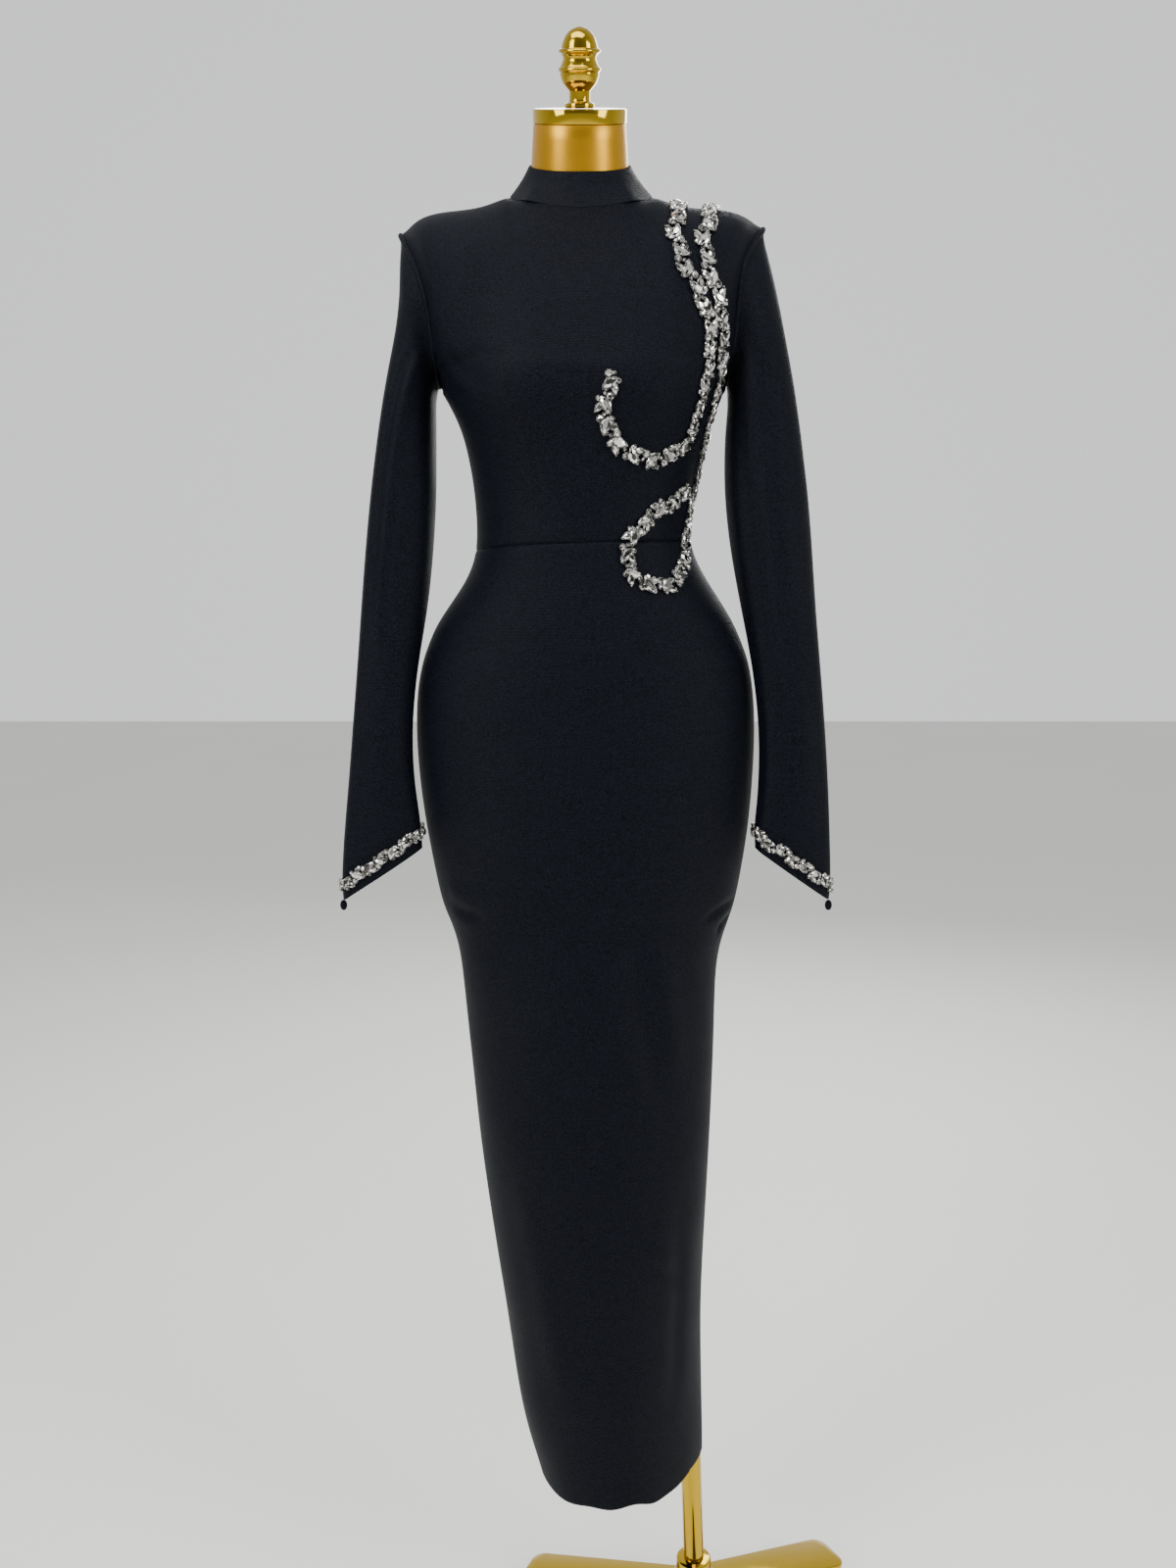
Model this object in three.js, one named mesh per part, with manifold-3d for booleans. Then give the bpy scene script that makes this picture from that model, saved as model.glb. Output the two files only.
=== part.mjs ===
import * as THREE from "three";
import Module from "manifold-3d";
import { mergeVertices } from "three/addons/utils/BufferGeometryUtils.js";

// A long-sleeved bodycon dress on a limbless display form. Millimetres, +Z up, the front faces -Y.
// Left is -X and right is +X, as seen from the front. The trunk's middle plane is Y = 0 here, and
// the last group moves the whole so that its origin is under the middle of its box.

const wasm = await Module();
wasm.setup();

// Cloth
const WALL = 1.6;              // thickness of the heavy knit
const SEAM_GAP = 0.3;          // space between two sewn panels
const FORM_GAP = 0.5;          // space between the cloth and the form inside it
const CENTRE_SHIFT = { x: 29, y: -31 };

// Trunk
const COLUMN_DEG = 10;         // one column of the grid each 10 degrees
const HALF = 180 / COLUMN_DEG; // columns across the front, and across the back
const FULLNESS = 2.15;         // 2 is an ellipse, more is squarer
const HEM_FULLNESS = { left: 2.4, right: 1.55, upToZ: 485 };  // the hem leans on the pole at its right
const WAIST_Z = 1232;
const WAIST_TILT = 0.04;       // the waist seam climbs a little to the right
const UNDERARM_Z = 1387;
const TIP_Z = 1532;
const ARMHOLE_FRONT = 48;      // how far the armhole reaches forward and back
const ARMHOLE_BACK = 52;
const SHOULDER_ROUND = 45;     // height over which the shoulder rolls from front to back
const FORM_BOTTOM_Z = 868;
const FORM_EDGE_SETBACK = 3;   // the form's shoulder ends stop short of the armhole seam
const FORM_EDGE_GAP = 2.4;     // and lie a little deeper there
const FORM_NECK_GAP = 0.9;     // as does its neck edge, under the collar's seam
const BUST = { x: 70, z: 1371, out: 21, spreadX: 47, spreadZ: 43 };

// Neck: everything above the shoulders leans forward on one tilted axis
const NECK_TOP = { x: -7.8, y: -11, z: 1591.8 };
const NECK_TILT = THREE.MathUtils.degToRad(23);
const NECK_SEAM = { halfWidth: 70.2, front: 62, back: 55, frontZ: 1538.4, sideZ: 1567.5, backZ: 1580 };
const COLLAR_RADIUS = 49.3;
const COLLAR_FLARE = 1.3;

const NECK_LEDGE = { radius: 52, level: -30.2 };  // the form's flat top, under the neck block

// Zip
const ZIP_HALF_WIDTH = 2.7;
const ZIP_OPENING = 3;
const ZIP_END_Z = 1128;

// Crystal trim
const TRIM_HALF_WIDTH = 8.6;
const TRIM_WAIST = 0.78;       // how much narrower it is between two clusters
const TRIM_LOW = 1.6;
const TRIM_JOINT = 2.8;
const TRIM_HIGH = 5.6;
const TRIM_CLEAR = 0.5;        // between the cloth and the band
const TRIM_PITCH = 19;         // from one cluster to the next

// Stand
const SOCKET = { radius: 20, height: 12, topZ: FORM_BOTTOM_Z - SEAM_GAP };
const POLE_TOP_Z = SOCKET.topZ - SOCKET.height - 0.6;
const POLE = { radius: 11.3, footX: 120.1, topX: 91, y: 12, footZ: 104.6, topZ: POLE_TOP_Z };
const HUB = { radius: 24, lowZ: 52, shoulderZ: 82, collarRadius: 19.5, topZ: 104 };
const ARM = { start: 24.4, reach: 214, width: 52, corner: 14, edge: 6, ridge: 10.5, hubZ: 60, tipZ: 18 };
const ARM_DIRECTIONS = [157, 31, 274];
const FOOT = { radius: 15, height: 8, stemRadius: 5, reach: 183 };

// Outline of the trunk in the cloth, from hem to shoulder: how far it reaches left and right of the
// middle plane, and forward and back of it, and where its side line lies.
const TRUNK = [
  { z: 242, left: -55.5, right: 128.3, front: 86, back: 106, side: 12 },
  { z: 265, left: -63, right: 128, front: 86, back: 105, side: 12 },
  { z: 305, left: -74, right: 126.8, front: 86, back: 104, side: 12 },
  { z: 360, left: -82, right: 125.2, front: 86, back: 103, side: 12 },
  { z: 420, left: -90, right: 124, front: 86, back: 102, side: 12 },
  { z: 485, left: -100, right: 126, front: 86, back: 101, side: 12 },
  { z: 550, left: -109, right: 129, front: 86, back: 100, side: 12 },
  { z: 615, left: -117, right: 131.5, front: 87, back: 98, side: 11 },
  { z: 680, left: -122.5, right: 133.5, front: 88, back: 97, side: 10 },
  { z: 740, left: -128, right: 134.5, front: 90, back: 97, side: 8 },
  { z: 790, left: -132, right: 134.5, front: 92, back: 97, side: 6 },
  { z: 822, left: -135.5, right: 138, front: 92, back: 96, side: 4 },
  { z: 848, left: -143, right: 146, front: 90, back: 94, side: 2 },
  { z: 868, left: -152, right: 153, front: 93, back: 97, side: 0 },
  { z: 900, left: -158.5, right: 159, front: 96, back: 101, side: 0 },
  { z: 950, left: -167.5, right: 166.5, front: 99, back: 109, side: 0 },
  { z: 1000, left: -174, right: 170, front: 101, back: 120, side: 0 },
  { z: 1050, left: -176.5, right: 171.5, front: 101, back: 125, side: 0 },
  { z: 1090, left: -174.5, right: 169, front: 100, back: 119, side: 0 },
  { z: 1116, left: -169, right: 164, front: 99, back: 112, side: 0 },
  { z: 1128, left: -165, right: 160, front: 98, back: 108, side: 0 },
  { z: 1155, left: -155, right: 148.5, front: 96, back: 99, side: 0 },
  { z: 1180, left: -138, right: 131.5, front: 93, back: 91, side: 0 },
  { z: 1205, left: -121, right: 114, front: 90, back: 83, side: 0 },
  { z: 1232, left: -111.5, right: 101.5, front: 88, back: 80, side: 0 },
  { z: 1269, left: -111.5, right: 102.5, front: 92, back: 83, side: 0 },
  { z: 1308, left: -115.5, right: 109.5, front: 98, back: 90, side: 0 },
  { z: 1346, left: -125, right: 118, front: 104, back: 95, side: 0 },
  { z: 1365, left: -134, right: 126.5, front: 107, back: 97, side: 0 },
  { z: 1387, left: -147, right: 137, front: 109, back: 98, side: 0 },
  { z: 1430, left: -147.5, right: 139, front: 100, back: 96, side: 0 },
  { z: 1460, left: -151, right: 141, front: 92, back: 91, side: 0 },
  { z: 1480, left: -157, right: 142.5, front: 87, back: 86, side: 0 },
  { z: 1500, left: -165, right: 147, front: 80, back: 80, side: 0 },
  { z: 1520, left: -176, right: 157, front: 72, back: 75, side: 0 },
  { z: 1532, left: -182, right: 169, front: 66, back: 72, side: 0 },
  { z: 1580, left: -182, right: 169, front: 44, back: 55, side: 0 },
];

// The bodice's rows above the waist as shares of its height, up to the underarm. The rest of its
// rows follow the armhole's ring.
const BODICE_SHARES = [0, 0.1, 0.2, 0.29, 0.37, 0.44, 0.5];
const ARMHOLE_STEPS = 8;

// The shoulder line outward from the neck: distance from the middle, and height on each side.
const SHOULDER = [
  { out: 90, leftZ: 1558, rightZ: 1558 },
  { out: 112, leftZ: 1554.5, rightZ: 1556 },
  { out: 138, leftZ: 1553, rightZ: 1555.5 },
  { out: 160, leftZ: 1547, rightZ: 1550 },
  { out: 175.5, leftZ: TIP_Z, rightZ: 1538 },
];

// Sleeve sections down from the armhole: the outer and inner ends of each, its middle and half its
// depth. The sleeves pitch forward, so that they pass the hips.
const SLEEVE = [
  { outZ: 1512, outL: -183, outR: 175, inZ: 1383, inL: -149, inR: 138.5, y: 0, depth: 50 },
  { outZ: 1480, outL: -183, outR: 184, inZ: 1378, inL: -150, inR: 138, y: -1, depth: 49 },
  { outZ: 1442, outL: -187, outR: 192, inZ: 1371, inL: -150.5, inR: 138, y: -3, depth: 47 },
  { outZ: 1402, outL: -196.5, outR: 200.5, inZ: 1360, inL: -150, inR: 137, y: -5, depth: 45 },
  { outZ: 1362, outL: -204, outR: 207.5, inZ: 1342, inL: -149.5, inR: 135, y: -8, depth: 43 },
  { outZ: 1322, outL: -210, outR: 213, inZ: 1316, inL: -149.5, inR: 134, y: -11, depth: 41 },
  { outZ: 1282, outL: -215.5, outR: 218.5, inZ: 1280, inL: -149.5, inR: 134.5, y: -14, depth: 39 },
  { outZ: 1230, outL: -221, outR: 223, inZ: 1230, inL: -152.5, inR: 140, y: -18, depth: 36.5 },
  { outZ: 1172, outL: -226, outR: 227, inZ: 1172, inL: -158.5, inR: 151.5, y: -22, depth: 34 },
  { outZ: 1115, outL: -229.5, outR: 231.5, inZ: 1115, inL: -169, inR: 163, y: -32, depth: 28 },
  { outZ: 1055, outL: -234.5, outR: 236.5, inZ: 1055, inL: -175, inR: 170, y: -38, depth: 26 },
  { outZ: 1000, outL: -240, outR: 241, inZ: 1005, inL: -174, inR: 170.5, y: -38, depth: 25 },
  { outZ: 948, outL: -246, outR: 244, inZ: 974, inL: -169.5, inR: 168.5, y: -39, depth: 23 },
  { outZ: 902, outL: -249.5, outR: 246, inZ: 959, inL: -167.5, inR: 166.5, y: -40, depth: 22 },
  { outZ: 886, outL: -249, outR: 245.5, inZ: 942, inL: -166.5, inR: 167, y: -40, depth: 21 },
  { outZ: 879, outL: -248.5, outR: 244.5, inZ: 933, inL: -166, inR: 167.5, y: -40, depth: 21 },
];
const SLEEVE_FULLNESS = 2.2;
const CUFF_TRIM_ROWS = { low: 15, high: 14 };
// A soft lengthwise ridge: how many steps round from the outer edge it lies, and its height.
const SLEEVE_RIDGE = { left: 2, right: 6, height: 4, startRow: 2 };
const CUFF_CLUSTERS = 11;

// The bands of crystal: degrees round from the centre front, towards the right, and height.
const TRIM_BUST = [
  { round: 52, z: 1558 }, { round: 48.5, z: 1534 }, { round: 47.5, z: 1510 }, { round: 48.5, z: 1490 },
  { round: 50.5, z: 1472 }, { round: 53.5, z: 1452 }, { round: 55.5, z: 1436 }, { round: 56, z: 1418 },
  { round: 55.5, z: 1400 }, { round: 56, z: 1380 }, { round: 57, z: 1360 }, { round: 57, z: 1343 },
  { round: 53.5, z: 1327 }, { round: 44, z: 1315 }, { round: 32, z: 1309 }, { round: 21, z: 1313 },
  { round: 13, z: 1324 }, { round: 8, z: 1342 }, { round: 8, z: 1362 }, { round: 11, z: 1383 },
];
const TRIM_SIDE = [
  { round: 65.5, z: 1556 }, { round: 62.5, z: 1534 }, { round: 62, z: 1512 }, { round: 62, z: 1496 },
  { round: 63, z: 1478 }, { round: 65, z: 1460 }, { round: 66.5, z: 1444 }, { round: 67, z: 1428 },
  { round: 67.2, z: 1410 }, { round: 68.5, z: 1390 }, { round: 71.5, z: 1370 }, { round: 76, z: 1350 },
  { round: 80.5, z: 1330 }, { round: 82, z: 1310 }, { round: 80, z: 1290 }, { round: 75.5, z: 1272 },
  { round: 71, z: 1255 }, { round: 66.5, z: 1238 }, { round: 58.5, z: 1221 }, { round: 48, z: 1203 },
  { round: 38, z: 1194 }, { round: 28, z: 1193 }, { round: 21.5, z: 1202 }, { round: 19.5, z: 1218 },
  { round: 23, z: 1235 }, { round: 30.5, z: 1251 }, { round: 41, z: 1265 }, { round: 54, z: 1275 },
  { round: 67, z: 1286 },
];

// Materials
const cloth = new THREE.MeshStandardMaterial({ color: 0x14161c, roughness: 0.85, metalness: 0 });
const satinGold = new THREE.MeshStandardMaterial({ color: 0xd9b25a, roughness: 0.4, metalness: 1 });
const polishedGold = new THREE.MeshStandardMaterial({ color: 0xe0bd6a, roughness: 0.12, metalness: 1 });
const crystal = new THREE.MeshStandardMaterial({ color: 0xe8ecef, roughness: 0.1, metalness: 0.2 });
const zipMetal = new THREE.MeshStandardMaterial({ color: 0x1b1c20, roughness: 0.4, metalness: 0.6 });
const zipCoil = new THREE.MeshStandardMaterial({ color: 0x15161a, roughness: 0.6, metalness: 0 });
const rubber = new THREE.MeshStandardMaterial({ color: 0x1a1a1a, roughness: 0.8, metalness: 0 });

const dress = new THREE.Group();
dress.position.set(-CENTRE_SHIFT.x, -CENTRE_SHIFT.y, 0);

const neckFrame = new THREE.Group();
neckFrame.position.set(NECK_TOP.x, NECK_TOP.y, NECK_TOP.z);
neckFrame.rotation.x = NECK_TILT;
neckFrame.updateMatrix();
dress.add(neckFrame);

function addPiece(name, geometry, material, parent = dress) {
  const piece = new THREE.Mesh(geometry, material);
  piece.name = name;
  parent.add(piece);
  return piece;
}

// Small maths

function signedPower(value, power) {
  return Math.sign(value) * Math.abs(value) ** power;
}

function rowAt(table, z) {
  const last = table.length - 1;
  let k = 0;
  while (k < last - 1 && table[k + 1].z < z) k += 1;
  const low = table[k];
  const high = table[k + 1];
  const share = THREE.MathUtils.clamp((z - low.z) / (high.z - low.z), 0, 1);
  const row = {};
  for (const name of Object.keys(low)) row[name] = THREE.MathUtils.lerp(low[name], high[name], share);
  return row;
}

// Solids from grids: a grid is a list of rows, each a list of points, and its outside is where the
// direction along a row, turned towards the next row, points out.

function gridNormals(grid, closed) {
  const rows = grid.length;
  const columns = grid[0].length;
  return grid.map((row, j) => row.map((point, i) => {
    const before = closed ? (i + columns - 1) % columns : Math.max(i - 1, 0);
    const after = closed ? (i + 1) % columns : Math.min(i + 1, columns - 1);
    const along = row[after].clone().sub(row[before]);
    const up = grid[Math.min(j + 1, rows - 1)][i].clone().sub(grid[Math.max(j - 1, 0)][i]);
    return along.cross(up).normalize();
  }));
}

function solidFromFaces(points, triangles) {
  let geometry = new THREE.BufferGeometry();
  const positions = points.flatMap((point) => [point.x, point.y, point.z]);
  geometry.setAttribute("position", new THREE.Float32BufferAttribute(positions, 3));
  geometry.setIndex(triangles);
  geometry = mergeVertices(geometry, 1e-3);
  const kept = [];
  const index = geometry.index.array;
  for (let k = 0; k < index.length; k += 3) {
    const [a, b, c] = [index[k], index[k + 1], index[k + 2]];
    if (a !== b && b !== c && c !== a) kept.push(a, b, c);
  }
  geometry.setIndex(kept);
  return geometry;
}

// A wall between two grids of the same size.
function wallSolid(outer, inner, closed = false) {
  const rows = outer.length;
  const columns = outer[0].length;
  const points = [...outer.flat(), ...inner.flat()];
  const triangles = [];
  const out = (j, i) => j * columns + (i % columns);
  const inside = (j, i) => (rows + j) * columns + (i % columns);
  const quad = (a, b, c, d) => triangles.push(a, b, c, a, c, d);
  const spans = closed ? columns : columns - 1;
  for (let j = 0; j < rows - 1; j += 1) {
    for (let i = 0; i < spans; i += 1) {
      quad(out(j, i), out(j, i + 1), out(j + 1, i + 1), out(j + 1, i));
      triangles.push(inside(j, i), inside(j + 1, i + 1), inside(j, i + 1));
      triangles.push(inside(j, i), inside(j + 1, i), inside(j + 1, i + 1));
    }
  }
  const top = rows - 1;
  for (let i = 0; i < spans; i += 1) {
    quad(inside(0, i), inside(0, i + 1), out(0, i + 1), out(0, i));
    quad(out(top, i), out(top, i + 1), inside(top, i + 1), inside(top, i));
  }
  if (!closed) {
    const end = columns - 1;
    for (let j = 0; j < rows - 1; j += 1) {
      quad(inside(j, 0), out(j, 0), out(j + 1, 0), inside(j + 1, 0));
      quad(out(j, end), inside(j, end), inside(j + 1, end), out(j + 1, end));
    }
  }
  return solidFromFaces(points, triangles);
}

function insetGrid(grid, normals, depth) {
  return grid.map((row, j) => row.map((point, i) => point.clone().addScaledVector(normals[j][i], -depth)));
}

// The trunk: its front and back are grids with the same rows, from hem to shoulder. The front runs
// from left to right and the back from right to left.

function columnShape(step) {
  const angle = THREE.MathUtils.degToRad(step * COLUMN_DEG);
  return signedPower(Math.sin(angle), 2 / FULLNESS);
}

const UNDERARM_SHARE = (UNDERARM_Z - WAIST_Z) / (TIP_Z - WAIST_Z);

function armholeDepth(share, reach) {
  const half = (1 - UNDERARM_SHARE) / 2;
  const off = THREE.MathUtils.clamp((share - UNDERARM_SHARE) / half - 1, -1, 1);
  return reach * Math.sqrt(1 - off * off);
}

// The top edge of the bodice over one column: the neck seam for the middle columns, then the
// shoulder line out to the tip.
function topEdge(step, isFront) {
  const side = Math.sign(step);
  const away = Math.abs(step);
  if (away <= 4) {
    const angle = (away / 4) * (Math.PI / 2);
    const reach = isFront ? -NECK_SEAM.front : NECK_SEAM.back;
    const middleZ = isFront ? NECK_SEAM.frontZ : NECK_SEAM.backZ;
    const z = NECK_SEAM.sideZ + (middleZ - NECK_SEAM.sideZ) * Math.cos(angle);
    return new THREE.Vector3(side * NECK_SEAM.halfWidth * Math.sin(angle), reach * Math.cos(angle), z);
  }
  const spot = SHOULDER[away - 5];
  return new THREE.Vector3(side * spot.out, 0, side > 0 ? spot.rightZ : spot.leftZ);
}

function trunkPoint(step, z, isFront) {
  const row = rowAt(TRUNK, z);
  const middle = (row.left + row.right) / 2;
  const half = (row.right - row.left) / 2;
  const across = columnShape(step);
  const reach = isFront ? -row.front : row.back;
  const lowness = THREE.MathUtils.clamp((HEM_FULLNESS.upToZ - z) / (HEM_FULLNESS.upToZ - TRUNK[0].z), 0, 1);
  const hemFullness = step > 0 ? HEM_FULLNESS.right : HEM_FULLNESS.left;
  const fullness = THREE.MathUtils.lerp(FULLNESS, hemFullness, lowness);
  const bulge = Math.max(0, 1 - Math.abs(across) ** fullness) ** (1 / fullness);
  return new THREE.Vector3(middle + half * across, row.side + (reach - row.side) * bulge, z);
}

function bodicePoint(step, share, isFront) {
  const edge = topEdge(step, isFront);
  const z = THREE.MathUtils.lerp(WAIST_Z, edge.z, share);
  const row = rowAt(TRUNK, Math.min(z, TIP_Z));
  const profile = rowAt(TRUNK, z);
  const middle = (row.left + row.right) / 2;
  const half = (row.right - row.left) / 2;
  const fan = THREE.MathUtils.smoothstep(share, 0.55, 1);
  const across = THREE.MathUtils.lerp(columnShape(step), edge.x / SHOULDER[4].out, fan);
  const off = half * across;
  const bulge = Math.max(0, 1 - Math.abs(across) ** FULLNESS) ** (1 / FULLNESS);
  const sideY = share > UNDERARM_SHARE ? armholeDepth(share, isFront ? -ARMHOLE_FRONT : ARMHOLE_BACK) : 0;
  const reach = isFront ? -profile.front : profile.back;
  let y = sideY + (reach - sideY) * bulge;
  const below = Math.max(0, edge.z - z);
  const roll = Math.sqrt(1 - Math.max(0, 1 - below / SHOULDER_ROUND) ** 2);
  y = THREE.MathUtils.lerp(edge.y, y, Math.abs(edge.y) > 40 ? Math.max(roll, 0.999) : roll);
  if (isFront) {
    const dx = (Math.abs(off) - BUST.x) / BUST.spreadX;
    const dz = (z - BUST.z) / BUST.spreadZ;
    y -= BUST.out * Math.exp(-dx * dx - dz * dz);
  }
  return new THREE.Vector3(middle + off, y, z);
}

function bodiceShares() {
  const list = [...BODICE_SHARES];
  for (let k = 0; k <= ARMHOLE_STEPS; k += 1) {
    const angle = Math.PI * (1 - k / ARMHOLE_STEPS);
    list.push(UNDERARM_SHARE + ((1 - UNDERARM_SHARE) * (1 + Math.cos(angle))) / 2);
  }
  return list;
}

const skirtLevels = TRUNK.map((row) => row.z).filter((z) => z <= WAIST_Z);
const shares = bodiceShares().slice(1);
const WAIST_ROW = skirtLevels.length - 1;
const TOP_ROW = WAIST_ROW + shares.length;
const UNDERARM_ROW = TOP_ROW - ARMHOLE_STEPS;
const SIDE = HALF / 2;

function trunkGrid(isFront) {
  const rows = [];
  const steps = [];
  for (let i = 0; i <= HALF; i += 1) steps.push(isFront ? i - SIDE : SIDE - i);
  for (const z of skirtLevels) rows.push(steps.map((step) => trunkPoint(step, z, isFront)));
  for (const share of shares) rows.push(steps.map((step) => bodicePoint(step, share, isFront)));
  rows.forEach((row, j) => row.forEach((point) => {
    const near = Math.max(0, 1 - Math.abs(j - WAIST_ROW) / 4);
    point.z += WAIST_TILT * point.x * near;
  }));
  return rows;
}

const front = trunkGrid(true);
const back = trunkGrid(false);

// Normals, shared where the front and the back meet: the sides up to the underarm, and the shoulders.
const frontNormals = gridNormals(front, false);
const backNormals = gridNormals(back, false);

function shareNormals(a, b) {
  const sum = a.clone().add(b).normalize();
  a.copy(sum);
  b.copy(sum);
}

for (let j = 0; j <= UNDERARM_ROW; j += 1) {
  shareNormals(frontNormals[j][HALF], backNormals[j][0]);
  shareNormals(frontNormals[j][0], backNormals[j][HALF]);
}
for (let i = 0; i <= HALF; i += 1) {
  if (Math.abs(i - SIDE) >= 4) shareNormals(frontNormals[TOP_ROW][i], backNormals[TOP_ROW][HALF - i]);
}

// Sleeves: rings of points round from the shoulder's tip. The first ring is the armhole's edge.

function armholeSpots(side) {
  const spots = [];
  const firstIsFront = side > 0;
  const firstColumn = HALF;
  for (let k = 0; k < ARMHOLE_STEPS; k += 1) {
    spots.push({ isFront: firstIsFront, j: TOP_ROW - k, i: firstColumn });
  }
  for (let k = 0; k < ARMHOLE_STEPS; k += 1) {
    spots.push({ isFront: !firstIsFront, j: UNDERARM_ROW + k, i: 0 });
  }
  return spots;
}

function sleeveGrid(side) {
  const spots = armholeSpots(side);
  const count = spots.length;
  const rows = [spots.map((spot) => {
    const edge = (spot.isFront ? front : back)[spot.j][spot.i].clone();
    edge.x += side * (SEAM_GAP + 0.1);
    return edge;
  })];
  SLEEVE.forEach((section, k) => {
    const outX = side > 0 ? section.outR : section.outL;
    const inX = side > 0 ? section.inR : section.inL;
    const ridgeAt = side > 0 ? SLEEVE_RIDGE.right : count - SLEEVE_RIDGE.left;
    const ridge = k >= SLEEVE_RIDGE.startRow ? SLEEVE_RIDGE.height : 0;
    rows.push(spots.map((spot, i) => {
      const angle = (2 * Math.PI * i) / count;
      const along = signedPower(Math.cos(angle), 2 / SLEEVE_FULLNESS);
      const forward = -side * signedPower(Math.sin(angle), 2 / SLEEVE_FULLNESS);
      const lift = i === ridgeAt ? 1 + ridge / section.depth : 1;
      const share = (1 + along * lift) / 2;
      const x = THREE.MathUtils.lerp(inX, outX, share);
      const z = THREE.MathUtils.lerp(section.inZ, section.outZ, share);
      return new THREE.Vector3(x, section.y + section.depth * forward * lift, z);
    }));
  });
  return rows;
}

function addSleeve(name, side) {
  const grid = sleeveGrid(side);
  const normals = gridNormals(grid, true);
  armholeSpots(side).forEach((spot, i) => {
    const bodiceNormals = spot.isFront ? frontNormals : backNormals;
    const joined = bodiceNormals[spot.j][spot.i].clone().add(normals[0][i]).normalize();
    bodiceNormals[spot.j][spot.i] = joined;
    normals[0][i] = joined;
  });
  const [first, second] = side > 0 ? [frontNormals, backNormals] : [backNormals, frontNormals];
  second[TOP_ROW][0] = normals[0][0];
  first[UNDERARM_ROW][HALF] = normals[0][ARMHOLE_STEPS];
  addPiece(name, wallSolid(grid, insetGrid(grid, normals, WALL), true), cloth);
  return { grid, normals };
}

// The form inside is made before the sleeves bend the normals at the armholes.

function formTorso() {
  const depth = WALL + FORM_GAP;
  const frontIn = insetGrid(front, frontNormals, depth);
  const backIn = insetGrid(back, backNormals, depth);
  for (let j = UNDERARM_ROW - 1; j <= TOP_ROW; j += 1) {
    for (const [grid, normals] of [[frontIn, frontNormals], [backIn, backNormals]]) {
      for (const [i, next] of [[0, 1], [HALF, HALF - 1]]) {
        grid[j][i].addScaledVector(normals[j][i], -FORM_EDGE_GAP);
        grid[j][next].addScaledVector(normals[j][next], -FORM_EDGE_GAP);
        if (j > UNDERARM_ROW) {
          grid[j][i].addScaledVector(grid[j][next].clone().sub(grid[j][i]).normalize(), FORM_EDGE_SETBACK);
        }
      }
    }
  }
  for (let i = SIDE - 4; i <= SIDE + 4; i += 1) {
    frontIn[TOP_ROW][i].addScaledVector(frontNormals[TOP_ROW][i], -FORM_NECK_GAP);
    backIn[TOP_ROW][i].addScaledVector(backNormals[TOP_ROW][i], -FORM_NECK_GAP);
  }
  for (const i of [0, HALF]) {
    backIn[TOP_ROW][HALF - i].copy(frontIn[TOP_ROW][i]);
  }
  const low = skirtLevels.indexOf(FORM_BOTTOM_Z);
  for (const point of [...frontIn[low], ...backIn[low]]) point.z = FORM_BOTTOM_Z;
  const points = [];
  const triangles = [];
  const add = (point) => points.push(point) - 1;
  const quad = (a, b, c, d) => {
    const [p, q, r, s] = [a, b, c, d].map(add);
    triangles.push(p, q, r, p, r, s);
  };
  for (let j = low; j < TOP_ROW; j += 1) {
    for (const grid of [frontIn, backIn]) {
      for (let i = 0; i < HALF; i += 1) quad(grid[j][i], grid[j][i + 1], grid[j + 1][i + 1], grid[j + 1][i]);
    }
    quad(frontIn[j][HALF], backIn[j][0], backIn[j + 1][0], frontIn[j + 1][HALF]);
    quad(backIn[j][HALF], frontIn[j][0], frontIn[j + 1][0], backIn[j + 1][HALF]);
  }
  const bottom = [...frontIn[low], ...backIn[low].slice(1, HALF)];
  const neck = [...frontIn[TOP_ROW].slice(SIDE - 4, SIDE + 5), ...backIn[TOP_ROW].slice(SIDE - 3, SIDE + 4)];
  const ledge = neck.map((_, k) => {
    const angle = Math.PI + (2 * Math.PI * k) / neck.length;
    return new THREE.Vector3(NECK_LEDGE.radius * Math.cos(angle), NECK_LEDGE.radius * Math.sin(angle),
      NECK_LEDGE.level).applyMatrix4(neckFrame.matrix);
  });
  neck.forEach((point, k) => {
    const next = (k + 1) % neck.length;
    quad(point, neck[next], ledge[next], ledge[k]);
  });
  for (const [ring, turned] of [[bottom, true], [ledge, false]]) {
    const middle = new THREE.Vector3();
    ring.forEach((point) => middle.add(point));
    middle.divideScalar(ring.length);
    ring.forEach((point, k) => {
      const next = ring[(k + 1) % ring.length];
      const [p, q, r] = (turned ? [middle, next, point] : [middle, point, next]).map(add);
      triangles.push(p, q, r);
    });
  }
  return solidFromFaces(points, triangles);
}
addPiece("form_torso", formTorso(), satinGold);

const sleeveRight = addSleeve("sleeve_right", 1);
const sleeveLeft = addSleeve("sleeve_left", -1);

// Collar: from the neck seam up to a round ring across the tilted neck. It is open at the back.

const COLLAR_ROWS = [0, 0.22, 0.6, 1];

// The neck edge round from the centre back, by the left side, the front and the right side.
const neckSpots = [];
for (let i = SIDE; i <= SIDE + 4; i += 1) neckSpots.push({ isFront: false, i });
for (let i = SIDE - 3; i <= SIDE + 4; i += 1) neckSpots.push({ isFront: true, i });
for (let i = SIDE - 3; i <= SIDE; i += 1) neckSpots.push({ isFront: false, i });

function neckSeamRing() {
  const ring = neckSpots.map(({ isFront, i }) => (isFront ? front : back)[TOP_ROW][i]);
  const fine = [];
  ring.forEach((point, k) => {
    fine.push(point.clone());
    if (k < ring.length - 1) fine.push(point.clone().lerp(ring[k + 1], 0.5));
  });
  return fine;
}

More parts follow.
